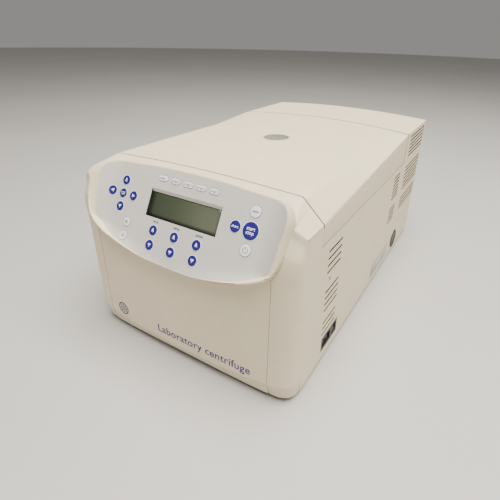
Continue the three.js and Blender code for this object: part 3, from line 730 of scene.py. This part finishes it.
def add_top_strip(sheet, rim, corner):
    """The strip between the lid's front seam and the rim, and the shoulder beside it."""
    seam_y = LID_FRONT - FRONT_SEAM
    arris = [rim[RIDGE_TOP].lerp(corner, k / 8) for k in range(1, 9)]
    front_edge = rim[: RIDGE_TOP - 1 : -1] + arris
    kink = len(rim) - 1 - TOP_KINK
    seam_edge = []
    for k, p in enumerate(front_edge):
        share = (k - kink) / (len(front_edge) - 1 - kink)
        x = p.x if k <= kink else lerp(front_edge[kink].x, HALF, share)
        seam_edge.append(Vector((x, seam_y, lid_height(x, LID_FRONT))))
    rows = [[Vector((p.x, p.y, p.z - 9)) for p in seam_edge]]
    for t in (0, 0.2, 0.4, 0.6, 0.8, 1):
        rows.append([a.lerp(b, t) for a, b in zip(seam_edge, front_edge)])
    sheet.grid(rows, True)
    sheet.soften(seam_edge, 0.3)
    sheet.soften([rim[RIDGE_TOP]] + arris, 0.9)
    side_edge = [row[-1] for row in rows[1:]]
    panel_top = EDGE_Z - SHOULDER_DROP - WALL
    sheet.grid([side_edge, [Vector((p.x, p.y, panel_top)) for p in side_edge]])
    sheet.soften(side_edge, 0.7)
    return arris


def pillar_row(left, right, power):
    """From the seam side round to the side panel's edge: straight at power 1, a bulge above it."""
    row = []
    steps = 12
    for k in range(steps + 1):
        angle = math.pi / 2 * (1 - k / steps)
        across = max(math.cos(angle), 0) ** (2 / power)
        forward = math.sin(angle) ** (2 / power)
        y = lerp(right.y, left.y, forward)
        row.append(Vector((lerp(left.x, right.x, across), y, lerp(left.z, right.z, across))))
    return row


def add_pillar(sheet, rim, arris, corner):
    """The bulged corner below the shoulder, from the front seam round to the side panel."""
    under = spline(UNDER_LIP, 4)
    left = rim[RIDGE_TOP:LIP_TOP:-1] + under
    seam_start = len(left) - 1
    count = 14
    foot_z = crease_height(FRONT_SEAM_X)
    for k in range(1, count + 1):
        z = lerp(left[seam_start].z, foot_z, k / count)
        left.append(Vector((FRONT_SEAM_X, front_surface(FRONT_SEAM_X, z), z)))
    top, bottom = left[0].z, left[-1].z
    rows = []
    for p in left:
        share = (top - p.z) / (top - bottom)
        right = Vector((HALF, PILLAR_EDGE_Y, lerp(corner.z, PILLAR_FOOT_Z, share)))
        power = 1 + 1.6 * min((top - p.z) / 25, 1)
        rows.append(pillar_row(p, right, power))
    rows[0] = [left[0].lerp(corner, k / 12) for k in range(13)]
    crease = rows[-1]
    foot = Vector((FRONT_SEAM_X, left[-1].y + 6.2, BASE_Z))
    rows.append(pillar_row(foot, Vector((HALF - 1.2, PILLAR_EDGE_Y + 1, BASE_Z)), 2.6))
    sheet.grid(rows, True)
    sheet.soften(crease, 0.2)
    outer = [row[-1] for row in rows]
    panel_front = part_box("side_panel_right")[0].y / MM
    sheet.grid([outer, [Vector((p.x, panel_front - 0.05, p.z)) for p in outer]])
    sheet.soften(outer, 0.2)
    seam = [row[0] for row in rows[seam_start:]]
    sheet.grid([seam, [Vector((p.x, p.y + 7, p.z)) for p in seam]], True)
    sheet.soften(seam, 0.25)
    sheet.grid([rows[-1], [Vector((p.x - 2, p.y + 4, p.z)) for p in rows[-1]]], True)
    return under


def add_lip(sheet, rim, under):
    """The underside of the lip, back to the lower front and to the pillar."""
    lip = rim[: LIP_TOP + 1]
    back = []
    for k, p in enumerate(lip):
        if k < SEAM_TOP:
            back.append(Vector((p.x, front_surface(p.x, p.z) + 5, p.z)))
        else:
            share = (k - SEAM_TOP) / (LIP_TOP - SEAM_TOP)
            place_on = (1 - share) * (len(under) - 1)
            step = min(int(place_on), len(under) - 2)
            back.append(under[step].lerp(under[step + 1], place_on - step))
    sheet.grid([lip, [a.lerp(b, 0.4) for a, b in zip(lip, back)], back], True)


def make_front_moulding():
    rim = rim_points()
    corner = Vector((HALF, PILLAR_EDGE_Y, EDGE_Z - SHOULDER_DROP))
    sheet = Sheet()
    add_bezel(sheet)
    arris = add_top_strip(sheet, rim, corner)
    under = add_pillar(sheet, rim, arris, corner)
    add_lip(sheet, rim, under)
    sheet.mirror()
    obj = sheet.build("front_moulding")
    soft_edges(obj, 2.0, 4)
    thicken(obj, 1.4)
    weighted(obj)
    place(obj, CREAM, "housing", "casing", "front_frame", "control_pod")


def make_front_panel():
    half = FRONT_SEAM_X - 0.8
    columns = [half * k / 24 for k in range(-24, 25)]
    lip = [panel_point(*p) for p in spline(RIM, 12)]

    def lip_height(x):
        below = [p for p in lip if p.z < PANEL_Z]
        return min(below, key=lambda p: abs(p.x - abs(x))).z + 1.5

    rows = []
    count = 16
    for k in range(count + 1):
        row = []
        for x in columns:
            z = lerp(lip_height(x), crease_height(x), k / count)
            row.append(Vector((x, front_surface(x, z), z)))
        rows.append(row)
    crease = rows[-1]
    foot = [Vector((x, front_surface(x, 0) + 7, BASE_Z)) for x in columns]
    step = [Vector((p.x, p.y + 0.9, p.z - 0.3)) for p in crease]
    rows.append(step)
    rows.append([a.lerp(b, 0.5) for a, b in zip(step, foot)])
    rows.append(foot)
    rows.append([Vector((p.x, p.y + 5, p.z)) for p in foot])
    sheet = Sheet()
    sheet.grid(rows, True)
    for side in (0, -1):
        edge = [row[side] for row in rows]
        sheet.grid([edge, [Vector((p.x, p.y + 5, p.z)) for p in edge]], side == 0)
        sheet.soften(edge, 0.3)
    sheet.soften(crease, 0.1)
    sheet.soften(foot, 0.5)
    obj = sheet.build("lower_front")
    outward(obj)
    soft_edges(obj, 2.0, 4)
    thicken(obj, 1.6)
    weighted(obj)
    place(obj, CREAM, "housing", "casing", "front_panel")


# ---- flat prints: polygons in (u, v) laid on a surface ----
def flat_print(name, loops, lay, material, body, slot, thickness=0.08):
    """Filled shapes, each a list of (u, v) points, as a thin film on the surface given by lay."""
    sheet = Sheet()
    for loop in loops:
        sheet.polygon([lay(u, v) for u, v in loop])
    obj = sheet.build(name)
    film(obj, thickness)
    return place(obj, material, body, slot)


def circle(u, v, radius, segments=40, start=0.0, end=2 * math.pi):
    count = segments if end - start >= 2 * math.pi else segments + 1
    return [
        (u + radius * math.cos(start + (end - start) * k / segments),
         v + radius * math.sin(start + (end - start) * k / segments))
        for k in range(count)
    ]


def ring_pieces(u, v, inner, outer, segments=40, start=0.0, end=2 * math.pi):
    """An annulus, or part of one, as quads."""
    pieces = []
    for k in range(segments):
        a = start + (end - start) * k / segments
        b = start + (end - start) * (k + 1) / segments
        corners = ((inner, a), (outer, a), (outer, b), (inner, b))
        pieces.append([(u + r * math.cos(t), v + r * math.sin(t)) for r, t in corners])
    return pieces


def text_mesh(name, text, size, lay, material, body, slot, spacing=1.0, weight=0.0):
    """Lettering laid on a surface, centred on (0, 0) of its own (u, v) axes."""
    curve = bpy.data.curves.new(name, "FONT")
    curve.body = text
    curve.size = size
    curve.align_x = "CENTER"
    curve.align_y = "CENTER"
    curve.space_character = spacing
    curve.offset = weight
    curve.space_line = 0.8
    writer = bpy.data.objects.new(name + "_curve", curve)
    bpy.context.scene.collection.objects.link(writer)
    bpy.context.view_layer.update()
    evaluated = writer.evaluated_get(bpy.context.evaluated_depsgraph_get())
    mesh = bpy.data.meshes.new_from_object(evaluated)
    bpy.data.objects.remove(writer)
    for vertex in mesh.vertices:
        vertex.co = lay(vertex.co.x, vertex.co.y) * MM
    mesh.name = name
    obj = bpy.data.objects.new(name, mesh)
    bpy.context.scene.collection.objects.link(obj)
    film(obj, 0.06)
    return place(obj, material, body, slot)


def on_panel(x, s, h):
    return lambda u, v: face_point(x + u, s + v, h)


def on_front(x, z, lift=0.1):
    return lambda u, v: Vector((x + u, front_surface(x + u, z + v) - lift, z + v))


# ---- control panel ----
FILM_FACE = 0.25  # the printed film lies on the bezel
KEY_FACE = FILM_FACE + 0.68  # a key's edge, which still stands above the film when it is pressed
KEY_DEPTH = -4.2


def make_membrane():
    outline = [(p.x, p.y) for p in spline([(x, s, 0) for x, s in FILM], RIM_STEPS)]
    outline = [(x + math.copysign(0.15, x) if x else 0, s) for x, s in outline]
    loop = outline + [(-x, s) for x, s in outline[-2:0:-1]]
    sheet = Sheet()
    sheet.polygon([panel_point(x, s, FILM_FACE) for x, s in loop])
    obj = sheet.build("panel_film")
    bend_with_panel(obj)
    film(obj, FILM_FACE + 0.5, -1)
    apply_modifiers(obj)
    lo, hi = window()
    cutter = window_block("window", lo, hi, -30, 30)
    cut(obj, cutter)
    soft_edges(obj, 0.15, 2, by_weight=False)
    weighted(obj)
    place(obj, MEMBRANE, "housing", "membrane", "control_membrane")


def bend_with_panel(obj):
    """Cuts a flat piece into small faces at its ends and lip, and lifts them to the panel's bend."""
    bm = bmesh.new()
    bm.from_mesh(obj.data)
    along = panel_point(0, 1) - panel_point(0, 0)
    off = panel_point(0, 0, 1) - panel_point(0, 0, 0)
    cuts = [(Vector((x * MM, 0, 0)), (1, 0, 0)) for x in range(-120, 121, 15)]
    cuts += [(Vector((side * (125 + 2.9 * k) * MM, 0, 0)), (1, 0, 0))
             for k in range(12) for side in (1, -1)]
    cuts += [(panel_point(0, s) * MM, along) for s in range(-76, -36, 2)]
    for point, direction in cuts:
        geometry = bm.verts[:] + bm.edges[:] + bm.faces[:]
        bmesh.ops.bisect_plane(bm, geom=geometry, plane_co=point, plane_no=direction)
    start = panel_point(0, 0)
    for vertex in bm.verts:
        place_on = vertex.co / MM
        vertex.co += off * panel_rise(place_on.x, (place_on - start).dot(along)) * MM
    bm.to_mesh(obj.data)
    bm.free()


def window():
    """The display's opening as (x, s) corners: the display's node less its border."""
    x, s, half, _ = panel_box("display_module")
    return (x - half + 3, s - 20), (x + half - 3, s + 20)


def window_block(name, lo, hi, h0, h1):
    sheet = Sheet()
    corners = [(lo[0], lo[1]), (hi[0], lo[1]), (hi[0], hi[1]), (lo[0], hi[1])]
    low = [panel_point(x, s, h0) for x, s in corners]
    high = [panel_point(x, s, h1) for x, s in corners]
    sheet.polygon(low, True)
    sheet.polygon(high)
    for k in range(4):
        n = (k + 1) % 4
        sheet.polygon([low[k], low[n], high[n], high[k]])
    return sheet.build(name)


def make_display():
    lo, hi = window()
    depth = -3.4
    band = 4.2
    # The surround: three dark inner walls, and a pale sloping band above the glass.
    outer = [(lo[0], lo[1]), (hi[0], lo[1]), (hi[0], hi[1]), (lo[0], hi[1])]
    inner = [
        (lo[0] + 0.9, lo[1] + 0.5),
        (hi[0] - 0.5, lo[1] + 0.5),
        (hi[0] - 0.5, hi[1] - band),
        (lo[0] + 0.9, hi[1] - band),
    ]
    top = [panel_point(x, s, FILM_FACE - 0.1) for x, s in outer]
    low = [panel_point(x, s, depth) for x, s in inner]
    low[2] = panel_point(*inner[2], depth + 1.2)
    low[3] = panel_point(*inner[3], depth + 1.2)
    for name, walls, material, slot in (
        ("display_surround", (3, 0, 1), BLACK_PLASTIC, "dark_paint"),
        ("display_band", (2,), MEMBRANE, "membrane"),
    ):
        sheet = Sheet()
        for k in walls:
            n = (k + 1) % 4
            sheet.polygon([top[k], top[n], low[n], low[k]])
        surround = sheet.build(name)
        thicken(surround, 0.6)
        place(surround, material, "housing", slot)
        surround.data.shade_flat()

    sheet = Sheet()
    rows = []
    for v in range(7):
        s = lerp(inner[0][1] - 0.3, inner[2][1] + 0.6, v / 6)
        xs = [lerp(inner[0][0] - 0.4, inner[1][0] + 0.4, u / 12) for u in range(13)]
        rows.append([panel_point(x, s, depth + 0.25) for x in xs])
    sheet.grid(rows)
    glass = sheet.build("display_glass")
    thicken(glass, 1.5)
    place(glass, DISPLAY, "housing", "display", "display_module")


def key_cap(node, material, slot):
    """A round key with a slightly domed, soft-edged cap."""
    x, s, half, top = panel_box(node)
    radius = half - 1
    profile = [(0, KEY_DEPTH), (half, KEY_DEPTH), (half, -2.6), (radius, -2.6)]
    rim = [(radius - 0.35 * (1 - math.cos(a)), KEY_FACE - 0.3 + 0.3 * math.sin(a))
           for a in (math.radians(d) for d in (0, 30, 60, 90))]
    profile += rim
    profile += [(radius * f, KEY_FACE + 0.12 * (1 - f * f)) for f in (0.7, 0.4, 0.15, 0)]
    sheet = Sheet()
    segments = 48
    rows = []
    for k in range(segments + 1):
        a = 2 * math.pi * (k % segments) / segments
        rows.append([face_point(x + r * math.cos(a), s + r * math.sin(a), h) for r, h in profile])
    sheet.grid(rows)
    obj = sheet.build("cap_" + node)
    outward(obj)
    weighted(obj)
    place(obj, material, node, slot, node)
    return x, s, radius


def pill_outline(x, s, half_width, half_height, steps=8):
    reach = half_width - half_height
    points = []
    for side in (1, -1):
        for k in range(steps + 1):
            a = math.pi * (k / steps - 0.5)
            along = reach + half_height * math.cos(a)
            points.append((x + side * along, s + side * half_height * math.sin(a)))
    return points


def program_key(node, index):
    x, s, half, _ = panel_box(node)
    half_height = 3.8
    sheet = Sheet()
    layers = [(0, KEY_DEPTH), (0, KEY_FACE - 0.2), (0.2, KEY_FACE - 0.05), (0.6, KEY_FACE)]
    loops = [
        [panel_point(u, v, h) for u, v in pill_outline(x, s, half - inset, half_height - inset)]
        for inset, h in layers
    ]
    for a, b in zip(loops, loops[1:]):
        sheet.grid([a + a[:1], b + b[:1]], True)
    sheet.polygon(loops[0])
    sheet.polygon(loops[-1])
    obj = sheet.build("cap_" + node)
    outward(obj)
    weighted(obj)
    place(obj, KEY_WHITE, node, "key_white", node)
    lay = on_panel(x, s, KEY_FACE + 0.02)
    text_mesh(f"legend_{node}", f"prog {index}", 4.5, lay, PRINT_GREY, node, "key_blue", weight=0.08)
    inner = pill_outline(x, s, half + 0.05, half_height + 0.05)
    outer = pill_outline(x, s, half + 0.6, half_height + 0.6)
    quads = []
    for k in range(len(inner)):
        n = (k + 1) % len(inner)
        quads.append([inner[k], outer[k], outer[n], inner[n]])
    edge_lay = on_panel(0, 0, FILM_FACE + 0.02)
    flat_print(f"outline_{node}", quads, edge_lay, PRINT_GREY, "housing", "key_blue")


def arrow(direction, radius):
    """A filled triangle that points up, down, left or right."""
    reach = radius * 0.5
    angle = {"right": 0, "up": 90, "left": 180, "down": 270}[direction]
    corners = []
    for turn in (0, 128, 232):
        a = math.radians(angle + turn)
        corners.append((reach * math.cos(a), reach * math.sin(a)))
    return corners


def snowflake(radius):
    loops = []
    for k in range(3):
        a = math.pi * k / 3 + math.pi / 2
        along = Vector((math.cos(a), math.sin(a))) * radius * 0.55
        across = Vector((-math.sin(a), math.cos(a))) * radius * 0.06
        corners = (-along - across, along - across, along + across, -along + across)
        loops.append([tuple(corner) for corner in corners])
    return loops


def make_keys():
    white = {"key_fast_cool", "key_rotor", "key_open", "key_standby"}
    words = {
        "key_menu_enter": ("menu\nenter", 3.3),
        "key_open": ("open", 4.8),
        "key_short": ("short", 4.6),
        "key_start_stop": ("start\nstop", 6.6),
    }
    rings = []
    for node in sorted(n for n in NODES if n.startswith("key_") and not n.startswith("key_program")):
        pale = node in white
        finish = (KEY_WHITE, "key_white") if pale else (KEY_BLUE, "key_blue")
        x, s, radius = key_cap(node, *finish)
        ink, ink_slot = (PRINT_BLUE, "key_blue") if pale else (KEY_WHITE, "key_white")
        lay = on_panel(x, s, KEY_FACE + 0.13)
        if node in words:
            text, size = words[node]
            text_mesh(f"legend_{node}", text, size, lay, ink, node, ink_slot, weight=0.1)
        elif node == "key_standby":
            arc = (math.radians(120), math.radians(420))
            loops = ring_pieces(0, 0, radius * 0.42, radius * 0.52, 28, *arc)
            loops.append([(-0.35, 0.3), (0.35, 0.3), (0.35, radius * 0.62), (-0.35, radius * 0.62)])
            flat_print(f"legend_{node}", loops, lay, ink, node, ink_slot)
        elif node == "key_fast_cool":
            flat_print(f"legend_{node}", snowflake(radius), lay, PRINT_GREY, node, ink_slot)
        elif node == "key_rotor":
            loops = ring_pieces(0, 0, radius * 0.4, radius * 0.48, 28)
            loops += [circle(radius * 0.22 * math.cos(a), radius * 0.22 * math.sin(a), 0.6, 10)
                      for a in (math.pi * k / 3 for k in range(6))]
            flat_print(f"legend_{node}", loops, lay, PRINT_GREY, node, ink_slot)
        else:
            direction = node.rsplit("_", 1)[1]
            flat_print(f"legend_{node}", [arrow(direction, radius)], lay, ink, node, ink_slot)
        outline = ring_pieces(x, s, radius + 0.05, radius + (0.7 if pale else 1.0), 48)
        rings.append((pale, outline))
    for pale, name, material, slot in (
        (False, "key_rings_white", KEY_WHITE, "key_white"),
        (True, "key_rings_grey", PRINT_GREY, "key_blue"),
    ):
        loops = [quad for kind, outline in rings if kind == pale for quad in outline]
        flat_print(name, loops, on_panel(0, 0, FILM_FACE + 0.02), material, "housing", slot)
    for index in range(1, 6):
        program_key(f"key_program_{index}", index)
    for word, column in (("time", "time"), ("temp.", "temperature"), ("speed", "speed")):
        x, s, _, _ = panel_box(f"key_{column}_up")
        text_mesh(f"label_{column}", word, 5.2, on_panel(x + 1, s + 12.6, FILM_FACE + 0.02), PRINT_GREY,
                  "housing", "key_blue", weight=0.12)


# ---- generic lettering and pictogram on the lower front ----
def make_front_prints():
    text_mesh("front_name", "Laboratory centrifuge", 19, on_front(41, 43), PRINT_BLUE, "housing",
              "key_blue", spacing=1.04, weight=0.2)
    loops = ring_pieces(0, 0, 9.2, 11.4, 48)
    loops += ring_pieces(0, 0, 2, 3.6, 24)
    for k in range(8):
        a = 2 * math.pi * k / 8
        loops.append(circle(6.4 * math.cos(a), 6.4 * math.sin(a), 1.6, 20))
    flat_print("front_pictogram", loops, on_front(-124, 47), PRINT_BLUE, "housing", "key_blue")


# ---- sight glass ----
def make_sight_glass():
    lo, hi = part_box("sight_glass_ring")
    outer = (hi.x - lo.x) / 2 / MM
    glass_lo, glass_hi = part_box("sight_glass")
    radius = (glass_hi.x - glass_lo.x) / 2 / MM
    z = hi.z / MM
    inner, foot = radius + 0.3, lo.z / MM
    profile = rounded([(inner, foot), (outer, foot), (outer, z), (inner, z), (inner, foot)], 0.9)
    turned("sight_ring", profile, RING_GREY, "lid", "ring_plastic", "sight_glass_ring", segments=96,
           closed=False)
    top = glass_hi.z / MM
    dome = [(radius * math.sin(a), top - 0.9 * (1 - math.cos(a)) / (1 - math.cos(0.9)))
            for a in (0.0, 0.3, 0.6, 0.9)]
    scale = radius / dome[-1][0]
    dome = [(r * scale, h) for r, h in dome]
    profile = dome + [(radius, glass_lo.z / MM), (0, glass_lo.z / MM)]
    turned("sight_window", profile, GLASS, "lid", "sight_glass", "sight_glass", segments=96,
           closed=False)


# ---- side details: places on the right side, as limits or as (x, y, z) ----
PLATE_Y, PLATE_Z = (20, 128), (22, 53)
SCREW_AT = (HALF, -205.5, 159.5)
SCREW_PROFILE = [(0, 0), (3.4, 0), (3.2, 1.3), (1.2, 1.5), (1.1, 0.9), (0, 0.9)]
PORT_AT = (HALF, 180, 38)
PORT_PROFILE = [(21, 0), (21, 1.6), (18.4, 1.8), (17.6, 0.6), (0, 0.5)]
PIN_Y = -196.5
PIN_PLACES = [(-7, -2), (7, -2), (0, 3)]  # from the middle of the inlet
PIN_SECTION = [(-1, -2.6), (1, -2.6), (1, 2.6), (-1, 2.6), (-1, -2.6)]
PIN_LEVELS = [(HALF - 17.5, 0), (HALF - 4, 0), (HALF - 2.6, 0.5)]  # x, and how far drawn in


def side_turned(name, profile, rounding, at, segments, material, slot):
    """A turned piece that faces out of the right side."""
    obj = lathe(name, rounded(profile, rounding), segments=segments, closed=False)
    turn = Matrix.Rotation(math.pi / 2, 4, "Y")
    obj.matrix_world = Matrix.Translation(Vector(at) * MM) @ turn
    place(obj, material, "housing", slot)


def make_side_details():
    plate = Sheet()
    (y0, y1), (z0, z1) = PLATE_Y, PLATE_Z
    start = (y0, lerp(z0, z1, 0.5))
    loop = rounded([start, (y0, z1), (y1, z1), (y1, z0), (y0, z0), start], 3)
    plate.polygon([Vector((HALF + 0.05, y, z)) for y, z in loop[:-1]])
    obj = plate.build("rating_plate")
    film(obj, 0.5, 0)
    place(obj, PLATE_FILM, "housing", "membrane")
    side_turned("side_screw", SCREW_PROFILE, 0.4, SCREW_AT, 32, PLAIN_STEEL, "plain_steel")
    side_turned("side_port", PORT_PROFILE, 0.6, PORT_AT, 64, BLACK_PLASTIC, "inlet_plastic")


def make_inlet_pins():
    lo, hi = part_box("power_inlet")
    middle_z = (lo.z + hi.z) / 2 / MM
    sheet = Sheet()
    for off_y, off_z in PIN_PLACES:
        y, z = PIN_Y + off_y, middle_z + off_z
        rows = []
        for x, inset in PIN_LEVELS:
            wide, high = 1 - inset / 2, 1 - inset / 3
            rows.append([Vector((x, y + u * wide, z + v * high)) for u, v in PIN_SECTION])
        sheet.grid(rows)
        sheet.polygon(rows[0][:-1])
        sheet.polygon(rows[-1][:-1])
    obj = sheet.build("inlet_pins")
    outward(obj)
    obj.data.shade_flat()
    place(obj, PLAIN_STEEL, "housing", "plain_steel")


# ---- rotor and chamber: profiles as (radius, z) ----
ROTOR_PROFILE = [
    (8, 112), (30, 112), (52, 118), (104, 164), (110, 178), (110, 194), (104, 196), (100, 188),
    (60, 176), (8, 176),
]
ROTOR_COVER_PROFILE = [
    (0, 177), (60, 177), (98.6, 189.4), (100.6, 197), (92, 200), (60, 201.6), (34, 203), (22, 204),
    (0, 204),
]
KNOB_PROFILE = [
    (22, 203.6), (20.5, 205), (20, 207), (20, 213), (18.6, 215.2), (15, 216), (6, 216), (0, 216),
]
BOWL_PROFILE = [
    (15, 96), (118, 96), (128, 100), (132, 110), (132, 222.4), (150, 222.4), (150, 224.4),
    (130, 224.4), (130, 111), (127, 102), (117, 98), (15, 98), (15, 96),
]


def make_rotor():
    turned("rotor_body", rounded(ROTOR_PROFILE, 3), ALUMINIUM, "rotor", "rotor_aluminium", "rotor")
    turned("rotor_cover", rounded(ROTOR_COVER_PROFILE, 2), DARK_PAINT, "rotor", "rotor_lid_plastic",
           "rotor_lid", closed=False)
    sheet = Sheet()
    rows = []
    count = 24 * 6
    for k in range(count + 1):
        a = 2 * math.pi * (k % count) / count
        flute = 0.55 * (0.5 - 0.5 * math.cos(24 * a))
        row = []
        for r, z in KNOB_PROFILE:
            depth = flute if 205 < z < 215.5 and r > 15 else 0
            row.append(Vector(((r - depth) * math.cos(a), ROTOR_Y + (r - depth) * math.sin(a), z)))
        rows.append(row)
    sheet.grid(rows)
    knob = sheet.build("rotor_knob")
    outward(knob)
    weighted(knob)
    place(knob, BLACK_PLASTIC, "rotor", "rotor_lid_plastic")


def make_bowl():
    profile = rounded(BOWL_PROFILE, 1.2, 3)[:-1]
    turned("chamber_bowl", profile, STEEL, "housing", "bowl_steel", "rotor_bowl")


def make_gasket():
    lo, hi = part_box("lid_gasket")
    outer = (hi.x - lo.x) / 2 / MM
    middle = outer - 4
    low, high = lo.z / MM, hi.z / MM
    left = [(middle - 4, high), (middle - 4, low + 2.2), (middle - 1.8, low)]
    right = [(middle + 1.8, low), (middle + 4, low + 2.2), (middle + 4, high)]
    turned("chamber_gasket", rounded(left + right, 1.2), RUBBER, "lid", "seal_rubber", "lid_gasket")


def make_feet():
    for node in sorted(n for n in NODES if n.startswith("foot_")):
        lo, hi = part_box(node)
        centre = ((lo.x + hi.x) / 2 / MM, (lo.y + hi.y) / 2 / MM)
        radius = (hi.x - lo.x) / 2 / MM
        height = hi.z / MM
        side = [(radius - 2.5, 0), (radius, 2.6), (radius - 2, height)]
        profile = rounded([(0, 0)] + side + [(0, height)], 1.2)
        turned("pad_" + node, profile, RUBBER, "housing", "foot_rubber", node, at=centre,
               segments=48, closed=False)


# ---- CAD nodes that keep their shape ----
def shade_slots(obj):
    """Painted shade, in the dark paint finish, on the cut walls of a panel's slots, which lie inside
    its outline.
    """
    obj.data.materials.append(DARK_PAINT)
    corners = [vertex.co for vertex in obj.data.vertices]
    low = [min(c[k] for c in corners) for k in range(3)]
    high = [max(c[k] for c in corners) for k in range(3)]
    through = min(range(3), key=lambda k: high[k] - low[k])
    across = [k for k in range(3) if k != through]
    margin = 4 * MM
    for face in obj.data.polygons:
        inside = all(low[k] + margin < face.center[k] < high[k] - margin for k in across)
        if inside and abs(face.normal[through]) < 0.3:
            face.material_index = 1


def painted_shade_sheet(name, axis, face, across, up):
    """A dark sheet of painted shade across x or y at one face, between two limits across and two up."""
    rows = []
    for v in range(5):
        row = []
        for u in range(7):
            point = Vector((0, 0, lerp(up[0], up[1], v / 4)))
            point[axis] = face
            point[1 - axis] = lerp(across[0], across[1], u / 6)
            row.append(point)
        rows.append(row)
    sheet = Sheet()
    sheet.grid(rows)
    shade_backing = sheet.build(name)
    thicken(shade_backing, 0.3)
    # The black paint finish here is painted shade behind the slots, not a part of the machine.
    place(shade_backing, DARK_PAINT, "housing", "dark_paint")


def make_slot_shade_sheets():
    """Dark sheets of painted shade close behind the side and rear panels, so that their slots read
    dark.
    """
    edge = 6
    behind = 0.6
    for node, side in (("side_panel_right", 1), ("side_panel_left", -1)):
        lo, hi = (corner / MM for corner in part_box(node))
        face = (lo if side > 0 else hi).x - side * behind
        low, high = lo.z + edge, hi.z - edge
        painted_shade_sheet(f"backing_{node}_front", 0, face, (lo.y + edge, LID_REAR), (low, LID_BOTTOM - edge))
        painted_shade_sheet(f"backing_{node}_rear", 0, face, (LID_REAR + edge, hi.y - edge), (low, high))
    lo, hi = (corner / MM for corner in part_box("rear_panel"))
    across, up = (lo.x + edge, hi.x - edge), (lo.z + edge, hi.z - edge)
    painted_shade_sheet("backing_rear_panel", 1, lo.y - behind, across, up)


def keep_nodes():
    finishes = {
        "base_pan": DARK_PAINT,
        "side_panel_left": CREAM,
        "side_panel_right": CREAM,
        "rear_panel": CREAM,
        "control_board": BOARD,
        "deck": LINER,
        "lid_lock": DARK_PAINT,
        "lid_liner": LINER,
        "hinge_rod": PLAIN_STEEL,
        "lid_hinge": PLAIN_STEEL,
        "hinge_bracket": PLAIN_STEEL,
        "lid_latch": PLAIN_STEEL,
        "motor_mount": PLAIN_STEEL,
        "motor": DARK_PAINT,
        "motor_shaft": PLAIN_STEEL,
        "compressor": DARK_PAINT,
        "condenser": FINS,
        "condenser_fan": BLACK_PLASTIC,
        "refrigerant_pipe": COPPER,
        "power_inlet": BLACK_PLASTIC,
        "mains_switch": BLACK_PLASTIC,
    }
    for node, material in finishes.items():
        obj = NODES[node]
        dress(obj, material)
        if material is CREAM:
            shade_slots(obj)
            edge = 0.15
        else:
            edge = 0.5
        weld = obj.modifiers.new("weld", "WELD")
        weld.merge_threshold = 0.02 * MM
        soft_edges(obj, edge, 2, by_weight=False, angle=32)
        weighted(obj)


for make in (
    make_camera, make_light, make_floor, make_lid, make_rear_cover, make_seam_shade_strips,
    make_front_moulding, make_front_panel, make_membrane, make_display, make_keys,
    make_front_prints, make_sight_glass, make_side_details, make_inlet_pins, make_rotor, make_bowl,
    make_gasket, make_feet, make_slot_shade_sheets, keep_nodes,
):
    make()
